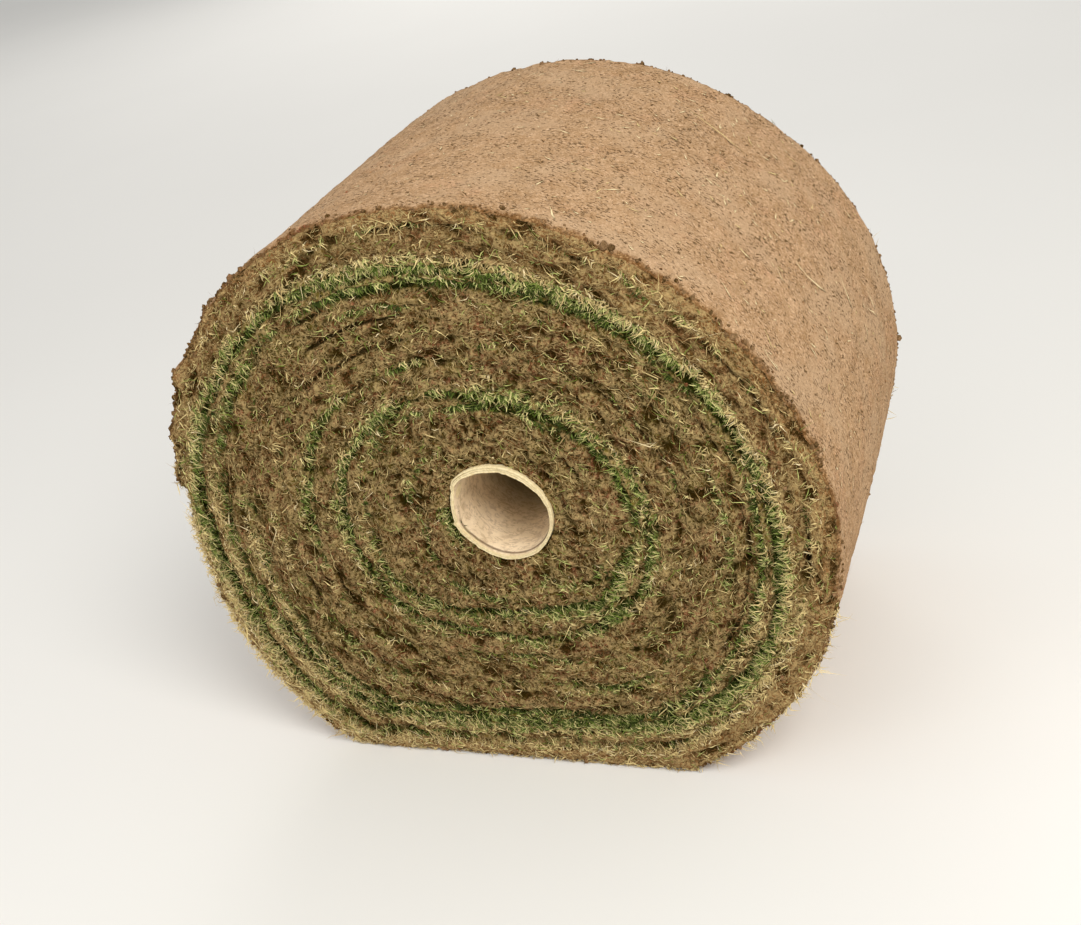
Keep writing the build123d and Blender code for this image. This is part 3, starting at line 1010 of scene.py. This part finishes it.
def use_group(tree, group, **inputs):
    """A node group with its inputs given as numbers, colours or sockets: its outputs."""
    made = add(tree, "ShaderNodeGroup", node_tree=group)
    for name, value in inputs.items():
        if isinstance(value, bpy.types.NodeSocket):
            tree.links.new(value, made.inputs[name])
        else:
            is_colour = isinstance(value, tuple) and len(value) == 3
            made.inputs[name].default_value = (*value, 1.0) if is_colour else value
    return made.outputs


def streaked(tree, colour, scale, shade):
    """A colour with fine streaks of shade in it, and those streaks."""
    streaks = grain(tree, object_place(tree), scale, 2.0, 0.6)
    shades = shade_ramp(tree, streaks, (0.3, shade), (0.7, (1.0, 1.0, 1.0)))
    return between(tree, 1.0, colour, shades, "MULTIPLY"), streaks


def dry_soil_material(colours):
    """The outside: dusty tan soil with short dark flecks running round the roll, browner at worn edges."""
    material, tree, shader = new_material("dry soil")
    place, wrap = object_place(tree), wrap_place(tree)
    soil = use_group(tree, soil_grain_group(), Place=place, Pale=colours.dry_soil, Dark=colours.dry_shade,
                     Patch=tinted(colours.dry_soil, 1.0, 0.92, 0.90), Crumb=0.6, Gaps=0.55)
    dusty = times(tree, span(tree, grain(tree, place, 9.0, 3.0, 0.55), 0.44, 0.64), 0.6)
    colour = between(tree, dusty, soil["Colour"], tinted(colours.dry_soil, 0.84, 0.87, 0.88))

    flecks = grain(tree, stretched(tree, wrap, per_metre(OUTSIDE_SPAN, 150, 320)), 1.0, 3.0, 0.55, 0.3)
    gather = grain(tree, place, 30.0, 3.0, 0.6)
    marks = maths(tree, "MULTIPLY_ADD", gather, 0.24, times(tree, flecks, 0.76))
    colour = between(tree, span(tree, marks, 0.51, 0.57, 0.0, 0.28), colour, colours.fleck)
    mask = span(tree, marks, 0.565, 0.605)
    colour = between(tree, times(tree, mask, 0.85), colour, colours.fleck)

    pale = tinted(colours.dry_soil, 1.30, 1.36, 1.48)
    chaff = stretched(tree, wrap, per_metre(OUTSIDE_SPAN, 120, 330), (7.3, 2.9, 0.0))
    chaff = span(tree, grain(tree, chaff, 1.0, 2.0, 0.5, 0.9), 0.64, 0.71, 0.0, 0.7)
    colour = between(tree, chaff, colour, pale)
    sand = span(tree, grain(tree, place, 430.0, 2.0, 0.5), 0.54, 0.70)
    colour = between(tree, times(tree, sand, 0.4), colour, pale)

    ragged = maths(tree, "SUBTRACT", value_of(tree, "worn"), 1.0)
    ragged = maths(tree, "MULTIPLY_ADD", grain(tree, place, 75.0, 5.0, 0.7), 1.7, ragged)
    damp = use_group(tree, soil_grain_group(), Place=place, Pale=tinted(colours.rim_soil, 0.92),
                     Dark=tinted(colours.straw_brown_and_painted_shade, 0.7), Patch=colours.end_soil, Crumb=1.0, Gaps=0.7)
    colour = between(tree, span(tree, ragged, 0.0, 0.7), colour, damp["Colour"])
    height = maths(tree, "SUBTRACT", soil["Height"], times(tree, mask, 0.9))
    finish_material(tree, shader, colour, height, 0.0016, 0.8)
    return material


def cut_soil_material(colours):
    """The ends: crumbly brown soil with painted shade in hollows and crevices and under the grass, full of
    fine roots.
    """
    material, tree, shader = new_material("cut soil")
    place, wrap = object_place(tree), wrap_place(tree)
    hue = shade_ramp(tree, grain(tree, place, 18.0, 2.5, 0.5, 0.6), (0.40, colours.red_soil),
                     (0.48, colours.end_soil), (0.56, colours.grey_soil_and_painted_shade), (0.62, colours.red_soil))
    coarse = stretched(tree, place, (0.6, 0.6, 0.6))
    soil = use_group(tree, soil_grain_group(), Place=coarse, Pale=hue, Dark=colours.dark_soil_and_painted_shade,
                     Patch=colours.red_soil, Crumb=1.0, Gaps=0.75)
    mossy = span(tree, grain(tree, place, 24.0, 4.0, 0.65, 0.5), 0.52, 0.66, 0.0, 0.45)
    olive = tuple((a + 2 * b) / 3 for a, b in zip(colours.green, colours.straw_brown_and_painted_shade))
    colour = between(tree, mossy, soil["Colour"], olive)
    rim = use_group(tree, soil_grain_group(), Place=place, Pale=colours.rim_soil, Dark=colours.straw_brown_and_painted_shade,
                    Patch=colours.end_soil, Crumb=1.0, Gaps=0.7)
    colour = between(tree, value_of(tree, "dry"), colour, rim["Colour"])

    # Strands lie along the turns, and hollows and fine cracks are darkened as painted shade
    strands = grain(tree, stretched(tree, wrap, per_metre(END_SPAN, 52, 420)), 1.0, 3.0, 0.6, 0.6)
    colour = between(tree, span(tree, strands, 0.44, 0.32, 0.0, 0.8), colour, colours.dark_soil_and_painted_shade)
    colour = between(tree, span(tree, strands, 0.59, 0.70, 0.0, 0.7), colour, colours.root)
    crisp = maths(tree, "SUBTRACT", grain(tree, place, 190.0, 4.0, 0.7), 0.5)
    hollow = maths(tree, "MULTIPLY_ADD", crisp, 1.1, value_of(tree, "hollow"))
    colour = between(tree, span(tree, hollow, 0.50, 0.90, 0.0, 0.88), colour, colours.dark_soil_and_painted_shade)
    # Fine cracks are painted dark: painted shade
    drawn = stretched(tree, wrap, (1.1, 0.41, 1.0))
    crack_shade = use_group(tree, root_lines_group(), Place=drawn, Scale=120.0, Width=0.055)["Mask"]
    crack_shade = times(tree, crack_shade, span(tree, crisp, -0.10, 0.06, 0.0, 0.9))
    colour = between(tree, crack_shade, colour, colours.dark_soil_and_painted_shade)

    # Moss and painted shade under the grass
    green = span(tree, grain(tree, place, 60.0), 0.30, 0.5, 0.35, 1.3)
    green = times(tree, value_of(tree, "grassy"), green)
    light = span(tree, grain(tree, place, 150.0, 3.0), 0.42, 0.6)
    light = times(tree, light, span(tree, hollow, 0.85, 0.45, 0.0, 0.9))
    under = between(tree, light, tinted(colours.moss_and_painted_shade, 0.35), olive)
    colour = between(tree, times(tree, green, 0.95, clamp=True), colour, under)

    roots = use_group(tree, root_lines_group(), Place=place, Scale=150.0, Width=0.09)["Mask"]
    # Roots show less where the hollows are painted in shade
    faint = times(tree, roots, span(tree, hollow, 0.85, 0.30, 0.0, 0.75))
    colour = between(tree, faint, colour, colours.root)
    # Crevices and the slit are painted near black: painted shade
    crevice = maths(tree, "MULTIPLY_ADD", crisp, 0.8, value_of(tree, "crevice"))
    dark = tinted(colours.dark_soil_and_painted_shade, 0.55)
    colour = between(tree, span(tree, crevice, 0.30, 0.75, 0.0, 0.95), colour, dark)
    height = maths(tree, "MULTIPLY_ADD", roots, 0.5, soil["Height"])
    height = maths(tree, "MULTIPLY_ADD", strands, 0.8, height)
    finish_material(tree, shader, colour, height, 0.0024, 1.0)
    return material


def crumb_material(colours):
    """Loose crumbs of the same soil."""
    material, tree, shader = new_material("soil crumb")
    tone = value_of(tree, "tone")
    pale = between(tree, tone, colours.end_soil, colours.dry_soil)
    deep = between(tree, tone, colours.dark_soil_and_painted_shade, colours.dry_shade)
    soil = use_group(tree, soil_grain_group(), Place=object_place(tree), Pale=pale, Dark=deep,
                     Patch=colours.red_soil, Crumb=1.0, Gaps=0.5)
    finish_material(tree, shader, soil["Colour"], soil["Height"], 0.0012, 0.8)
    return material


def grass_material(colours):
    """Green blades, darkened toward the root as painted shade, some of them yellowing and most of them pale
    at the tip.
    """
    material, tree, shader = new_material("grass blade", 0.55, 0.15)
    tone, along = value_of(tree, "tone"), value_of(tree, "along")
    colour = shade_ramp(tree, tone, (0.0, colours.green_deep), (0.42, colours.green),
                        (0.70, colours.green_light), (1.0, colours.straw))
    # Toward the root the blades darken: painted shade among the tufts
    root = tinted(colours.moss_and_painted_shade, 0.45)
    colour = between(tree, span(tree, along, 0.50, 0.02, 0.0, 0.96), colour, root)
    tip = times(tree, span(tree, along, 0.45, 1.0), span(tree, tone, 0.30, 0.70))
    colour = between(tree, tip, colour, colours.straw)
    colour, streaks = streaked(tree, colour, 900.0, (0.74, 0.74, 0.74))
    finish_material(tree, shader, colour, streaks, 0.0003, 0.6)
    return material


def thatch_material(colours):
    """Dead blades and roots from dark brown to cream, a few of them still green, darkened toward the base as
    painted shade.
    """
    material, tree, shader = new_material("thatch", 0.8, 0.08)
    tone, along = value_of(tree, "tone"), value_of(tree, "along")
    # Dark brown for the darkest dead blades, and for their painted shade at the base
    dark = tinted(colours.straw_brown_and_painted_shade, 0.45)
    colour = shade_ramp(tree, tone, (0.0, dark), (0.35, colours.straw_brown_and_painted_shade), (0.66, colours.root),
                        (1.0, colours.straw))
    lighter = span(tree, tone, MOSSY_TONE, MOSSY_TONE + MOSSY_SPREAD)
    mossy = between(tree, lighter, colours.green, colours.green_light)
    colour = between(tree, maths(tree, "GREATER_THAN", tone, MOSSY_TONE - 0.2), colour, mossy)
    colour = between(tree, maths(tree, "GREATER_THAN", tone, BLEACHED_TONE - 0.3), colour, colours.bleached)
    colour, streaks = streaked(tree, colour, 700.0, (0.70, 0.68, 0.64))
    # Toward the base the blades darken: painted shade
    colour = between(tree, span(tree, along, 0.35, 0.0, 0.0, 0.75), colour, dark)
    finish_material(tree, shader, colour, streaks, 0.0003, 0.6)
    return material


def card_material(colours):
    """Cardboard: cream on its torn rim, dusty brown with short dark marks inside, and darker deeper in, a
    painted shade.
    """
    material, tree, shader = new_material("wound cardboard", 0.85, 0.2)
    place = object_place(tree)
    fibres = grain(tree, place, 260.0, 4.0, 0.65, 0.4)
    faded = tinted(colours.card, 0.84, 0.80, 0.70)
    rim = between(tree, span(tree, fibres, 0.35, 0.65), faded, colours.card)
    dust = span(tree, grain(tree, place, 26.0, 4.0, 0.6), 0.35, 0.65)
    inside = between(tree, dust, tinted(colours.card_inside, 0.86, 0.84, 0.80), colours.card_inside)
    drawn = stretched(tree, place, (1.0, 2.3, 1.0))
    marks = use_group(tree, root_lines_group(), Place=drawn, Scale=78.0, Width=0.07)["Mask"]
    marks = times(tree, marks, span(tree, grain(tree, place, 90.0, 2.0, 0.5), 0.40, 0.54))
    inside = between(tree, times(tree, marks, 0.38), inside, colours.straw_brown_and_painted_shade)
    # Deeper in, the inside turns dark grey: painted shade
    inside = between(tree, value_of(tree, "bare"), inside, tinted(colours.grey_soil_and_painted_shade, 0.9))
    colour = between(tree, value_of(tree, "deep"), rim, inside)
    # Dark grooves between the plies, and a dark line under the edge of the inner ply, which is painted shade
    ply = times(tree, value_of(tree, "ply"), 0.85)
    colour = between(tree, ply, colour, tinted(colours.straw_brown_and_painted_shade, 0.4))
    finish_material(tree, shader, colour, fibres, 0.0008, 0.7)
    return material


def made_material(name, build):
    """The material of this name, built from the panel's colours unless it is there already."""
    group = bpy.context.scene.turf_colours
    colours = SimpleNamespace(**{each: tuple(getattr(group, each)) for each in group.__annotations__})
    return bpy.data.materials.get(name) or build(colours)


# The core


def core_profile(outer, wall, half):
    """The tube's closed profile, as radii and places along Y."""
    inner = outer - wall
    walk = [d - half for d in CORE_RINGS] + [0.0] + [half - d for d in reversed(CORE_RINGS)]
    profile = [(inner, y) for y in reversed(walk)] + [(inner + wall * r, y - half) for r, y in CORE_LIP]
    profile += [(outer, y) for y in walk] + [(inner + wall * r, half - y) for r, y in reversed(CORE_LIP)]
    return np.array(profile).T


def core_mesh(section, name, outer, wall, half):
    """The worn tube: its profile turned about the core's axis, each corner moved as far as it is worn."""
    radius, y = core_profile(outer, wall, half)
    angle = np.repeat(np.arange(CORE_STEPS) * 360 / CORE_STEPS, len(radius))
    radius, y = np.tile(radius, CORE_STEPS), np.tile(y, CORE_STEPS)
    spots, values = worn_core(section, angle, radius, y, outer, wall, half)
    corners = np.arange(len(angle)).reshape(CORE_STEPS, -1)
    beside = np.roll(corners, -1, 1)
    faces = np.stack([corners, beside, np.roll(beside, -1, 0), np.roll(corners, -1, 0)], 2)
    mesh = bpy.data.meshes.new(name)
    mesh.from_pydata(spots, [], faces.reshape(-1, 4).tolist())
    add_values(mesh, **values)
    mesh.polygons.foreach_set("use_smooth", np.ones(len(mesh.polygons), bool))
    return mesh


def worn_core(section, angle, radius, y, outer, wall, half):
    """Where each corner of the tube goes once it is worn, and what the cardboard is like there, with the
    painted shade deep inside.
    """
    spots = section.spot(np.radians(angle), radius, y)
    depth = half - np.abs(y)
    through = (radius - (outer - wall)) / wall
    inside, lip = through < 0.01, np.exp(-depth / 0.004)

    at, reach, thick = np.array(CORE_MOUTH, float).T
    reach = np.interp(angle, at, reach, period=360) / 1000 - section.sizes.core_radius
    thick = np.interp(angle, at, thick, period=360) / 1000 - wall
    frayed = lip * lumps(spots, (0.0007, 0.009, 73), (0.0004, 0.0035, 74))
    skin = wall + thick * hump(depth, 0, 0.011) + 1.5 * frayed
    spike = 0.0040 * hump(angle, 194, 1.8) * lip
    torn = np.zeros(len(spots))
    for middle, inward, wide, long in TORN_PLY:
        away = ((angle - middle) / wide) ** 2 + ((depth - inward) / long) ** 2
        torn = np.maximum(torn, 1 - ease_between(away + 0.5 * noise(spots, 0.006, 75), 0.6, 1.1))
    torn = torn * inside
    lower = on_arc(angle, *PLY_EDGE) * inside
    short = lower * (depth < PLY_EDGE_DEPTH)
    radius = outer + reach * np.exp(-depth / 0.045) + spike + frayed * (through > 0.9)
    radius = radius - (1 - through) * skin + 0.0009 * torn + 0.0012 * short

    groove, crack = (np.abs(through - share) < 0.02 for share in CORE_GROOVES)
    opened = on_arc(angle, *OPEN_PLIES) * crack * (depth < OPEN_DEPTH)
    ragged = lip * lumps(spots, (0.0007, 0.012, 71), (0.0006, 0.004, 72))
    notch = 0.0020 * hump(angle, 152, 4) + 0.0018 * hump(angle, 79, 2.5) * (through < 0.5)
    worn = np.clip(ragged + lip * notch + 0.005 * opened + 0.0006 * lip, 0, 0.006)
    spots = section.spot(np.radians(angle), radius, y - np.sign(y) * worn)

    deep = ease_between(depth, 0.0015, 0.0045) * inside * (1 - torn) * (1 - 0.15 * short)
    ply = np.maximum((groove | crack) * (depth < 0.0018) * 0.45, opened)
    # The line along the inner ply's edge is painted shade under its ledge
    ply = np.maximum(ply, 0.9 * lower * (np.abs(depth - PLY_EDGE_DEPTH) < 0.0005))
    return spots, {"deep": deep, "ply": ply, "bare": 0.7 * ease_between(depth, 0.085, 0.165) * inside}


# Operators


def section_now():
    return Section(bpy.context.scene.turf_sizes)


def step_edges(bm, section):
    """The open edges of the outside that face each other across the step at the strip's end."""
    left = min(0.0, section.x - 0.3)
    found = []
    for edge in bm.edges:
        run = edge.verts[0].co - edge.verts[1].co
        crosses = abs(run.y) > max(0.4 * abs(run.x), 0.002)
        beside = all(v.co.x < left and abs(v.co.z - section.z) < 0.12 for v in edge.verts)
        if edge.is_boundary and crosses and beside:
            found.append(edge)
    return found


class TURF_OT_outside(bpy.types.Operator):
    """Lays the dry soil round the outside of the roll, with worn edges and the step of the strip's end"""
    bl_idname = "turf.outside"
    bl_label = "Outside soil"

    def execute(self, context):
        section = section_now()

        def place(around, across):
            spots, worn = outside_place(section, around, across - 0.018 * np.sin(tau * across))
            return spots, {"worn": worn}

        bm, mesh = wrapped_grid("soil_outside", *OUTSIDE_GRID, place)
        ends = step_edges(bm, section)
        made = bmesh.ops.bridge_loops(bm, edges=ends)
        for face in made["faces"]:
            face.smooth = False
        face_outward(bm, mesh, Vector((section.x, 0, section.z)))
        piece = link("soil_outside", mesh, made_material("dry soil", dry_soil_material))
        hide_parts("turf_roll")
        return {"FINISHED"}


class TURF_OT_ends(bpy.types.Operator):
    """Cuts both ends of the roll: the turns of crumbly soil and the seams between them"""
    bl_idname = "turf.ends"
    bl_label = "Soil at the ends"

    def execute(self, context):
        section = section_now()
        for name, side, grid in (("soil_end_near", -1, NEAR_GRID), ("soil_end_far", 1, FAR_GRID)):

            def place(around, inward, side=side):
                spots, values, radius = end_place(section, around, inward, side)
                grassy = grass_ground(section, section.tail + tau * around, radius)[0]
                return spots, {"grassy": grassy, **values}

            bm, mesh = wrapped_grid(name, *grid, place)
            face_outward(bm, mesh, Vector((section.x, -side * 9.0, section.z)))
            piece = link(name, mesh, made_material("cut soil", cut_soil_material))
            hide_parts("turf_roll")
        return {"FINISHED"}


class TURF_OT_grass(bpy.types.Operator):
    """Grows the grass that shows between the turns at both ends"""
    bl_idname = "turf.grass"
    bl_label = "Grass"

    def execute(self, context):
        section, blades = section_now(), context.scene.turf_sizes.blades
        material = made_material("grass blade", grass_material)
        for name, side, total, segments, seed in (
                ("grass_near", -1, blades, 3, 41), ("grass_far", 1, blades // 2, 2, 42)):
            piece = link(name, grow_grass(section, name, side, total, segments, seed), material)
        return {"FINISHED"}


class TURF_OT_thatch(bpy.types.Operator):
    """Lays the dead blades and the fine roots over the cut soil at both ends"""
    bl_idname = "turf.thatch"
    bl_label = "Thatch and roots"

    def execute(self, context):
        section, sizes = section_now(), context.scene.turf_sizes
        material = made_material("thatch", thatch_material)
        for name, lay, side, total, segments, seed in (
                ("thatch_near", lay_thatch, -1, sizes.fibres, 3, 51),
                ("thatch_far", lay_thatch, 1, sizes.fibres // 2, 2, 52),
                ("roots_near", lay_roots, -1, sizes.roots, 3, 53),
                ("roots_far", lay_roots, 1, sizes.roots // 3, 2, 54)):
            piece = link(name, lay(section, name, side, total, segments, seed), material)
        return {"FINISHED"}


class TURF_OT_litter(bpy.types.Operator):
    """Scatters straws over the outside, and crumbs over the outside, the edges and the ends"""
    bl_idname = "turf.litter"
    bl_label = "Straws and crumbs"

    def execute(self, context):
        section, sizes = section_now(), context.scene.turf_sizes
        random = np.random.default_rng(61)
        mesh = lay_straws(section, "straws_outside", sizes.straws, random)
        piece = link("straws_outside", mesh, made_material("thatch", thatch_material))
        mesh = scatter_crumbs(section, "soil_crumbs", sizes.crumbs, random)
        piece = link("soil_crumbs", mesh, made_material("soil crumb", crumb_material))
        return {"FINISHED"}


class TURF_OT_core(bpy.types.Operator):
    """Winds the cardboard core: a thick frayed lip, a torn inner ply and a flattened left side"""
    bl_idname = "turf.core"
    bl_label = "Cardboard core"

    def execute(self, context):
        section, sizes = section_now(), context.scene.turf_sizes
        outer, wall, half = sizes.core_radius - CORE_SLACK, sizes.core_wall, sizes.core_length / 2
        mesh = core_mesh(section, "core_wound", outer, wall, half)
        piece = link("core_wound", mesh, made_material("wound cardboard", card_material))
        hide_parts("core_tube")
        return {"FINISHED"}


class TURF_OT_studio(bpy.types.Operator):
    """Sets the pale floor, the soft lights and the camera"""
    bl_idname = "turf.studio"
    bl_label = "Studio"

    def execute(self, context):
        scene = context.scene
        bm = bmesh.new()
        bmesh.ops.create_grid(bm, x_segments=2, y_segments=2, size=30.0)
        bmesh.ops.translate(bm, verts=bm.verts, vec=(0, 0, -0.0006))
        mesh = bpy.data.meshes.new("studio_floor")
        bm.to_mesh(mesh)
        bm.free()
        material, tree, shader = new_material("pale floor", 0.9, 0.1)
        pale = tuple(scene.turf_colours.floor)
        cloud = span(tree, grain(tree, object_place(tree), 0.8, 2.0), 0.3, 0.7)
        finish_material(tree, shader, between(tree, cloud, tinted(pale, 0.985), pale))
        mesh.materials.append(material)
        floor = bpy.data.objects.new("studio_floor", mesh)
        scene.collection.objects.link(floor)

        world = bpy.data.worlds.new("studio light")
        world.use_nodes = True
        tree = world.node_tree
        lit = tree.nodes["Background"]
        seen = add(tree, "ShaderNodeBackground", {"Color": (*pale, 1.0), "Strength": 1.0})
        lit.inputs["Color"].default_value = (0.985, 0.99, 0.99, 1.0)
        lit.inputs["Strength"].default_value = 0.60
        camera_ray = add(tree, "ShaderNodeLightPath").outputs["Is Camera Ray"]
        shown = add(tree, "ShaderNodeMixShader", {0: camera_ray, 1: lit.outputs[0], 2: seen.outputs[0]})
        tree.links.new(shown.outputs[0], tree.nodes["World Output"].inputs["Surface"])
        scene.world = world

        for name, place, size, power, tint in LAMPS:
            light = bpy.data.lights.new(name, "AREA")
            light.shape, light.size, light.energy, light.color = "DISK", size, power, tint
            lamp = bpy.data.objects.new(name, light)
            aim = (Vector(LAMPS_AIM) - Vector(place)).to_track_quat("-Z", "Y")
            lamp.matrix_world = Matrix.Translation(place) @ aim.to_matrix().to_4x4()
            scene.collection.objects.link(lamp)

        level = cos(CAMERA_PITCH)
        ahead = Vector((-sin(CAMERA_YAW) * level, cos(CAMERA_YAW) * level, -sin(CAMERA_PITCH)))
        right = Vector((cos(CAMERA_YAW), sin(CAMERA_YAW), 0))
        up = right.cross(ahead)
        turned_right = cos(CAMERA_ROLL) * right + sin(CAMERA_ROLL) * up
        turned_up = cos(CAMERA_ROLL) * up - sin(CAMERA_ROLL) * right
        aim = Matrix((turned_right, turned_up, -ahead)).transposed()
        camera = bpy.data.cameras.new("photo_camera")
        camera.sensor_width, camera.lens = SENSOR_WIDTH, FOCAL_PIXELS / PHOTO_PIXELS * SENSOR_WIDTH
        seat = bpy.data.objects.new("photo_camera", camera)
        seat.matrix_world = Matrix.Translation(CAMERA_PLACE) @ aim.to_4x4()
        scene.collection.objects.link(seat)
        scene.camera = seat
        scene.view_settings.view_transform = "Standard"
        return {"FINISHED"}


BUILDERS = (
    TURF_OT_studio, TURF_OT_outside, TURF_OT_ends, TURF_OT_core, TURF_OT_grass, TURF_OT_thatch,
    TURF_OT_litter)


class TURF_PT_panel(bpy.types.Panel):
    """Lists the sizes, the colours and the pieces of the roll"""
    bl_label = "Roll of Turf"
    bl_idname = "TURF_PT_panel"
    bl_space_type = "VIEW_3D"
    bl_region_type = "UI"
    bl_category = "Turf Roll"

    def draw(self, context):
        for group in (context.scene.turf_sizes, context.scene.turf_colours):
            column = self.layout.column(align=True)
            for name in group.__annotations__:
                column.prop(group, name)
        for builder in BUILDERS:
            self.layout.operator(builder.bl_idname)


CLASSES = (TurfSizes, TurfColours, *BUILDERS, TURF_PT_panel)


def register():
    for cls in CLASSES:
        bpy.utils.register_class(cls)
    bpy.types.Scene.turf_sizes = bpy.props.PointerProperty(type=TurfSizes)
    bpy.types.Scene.turf_colours = bpy.props.PointerProperty(type=TurfColours)


def unregister():
    del bpy.types.Scene.turf_colours
    del bpy.types.Scene.turf_sizes
    for cls in reversed(CLASSES):
        bpy.utils.unregister_class(cls)


def main():
    """Builds the studio and every piece of the roll."""
    register()
    bpy.ops.turf.studio()
    bpy.ops.turf.outside()
    bpy.ops.turf.ends()
    bpy.ops.turf.core()
    bpy.ops.turf.grass()
    bpy.ops.turf.thatch()
    bpy.ops.turf.litter()


if __name__ == "__main__":
    main()
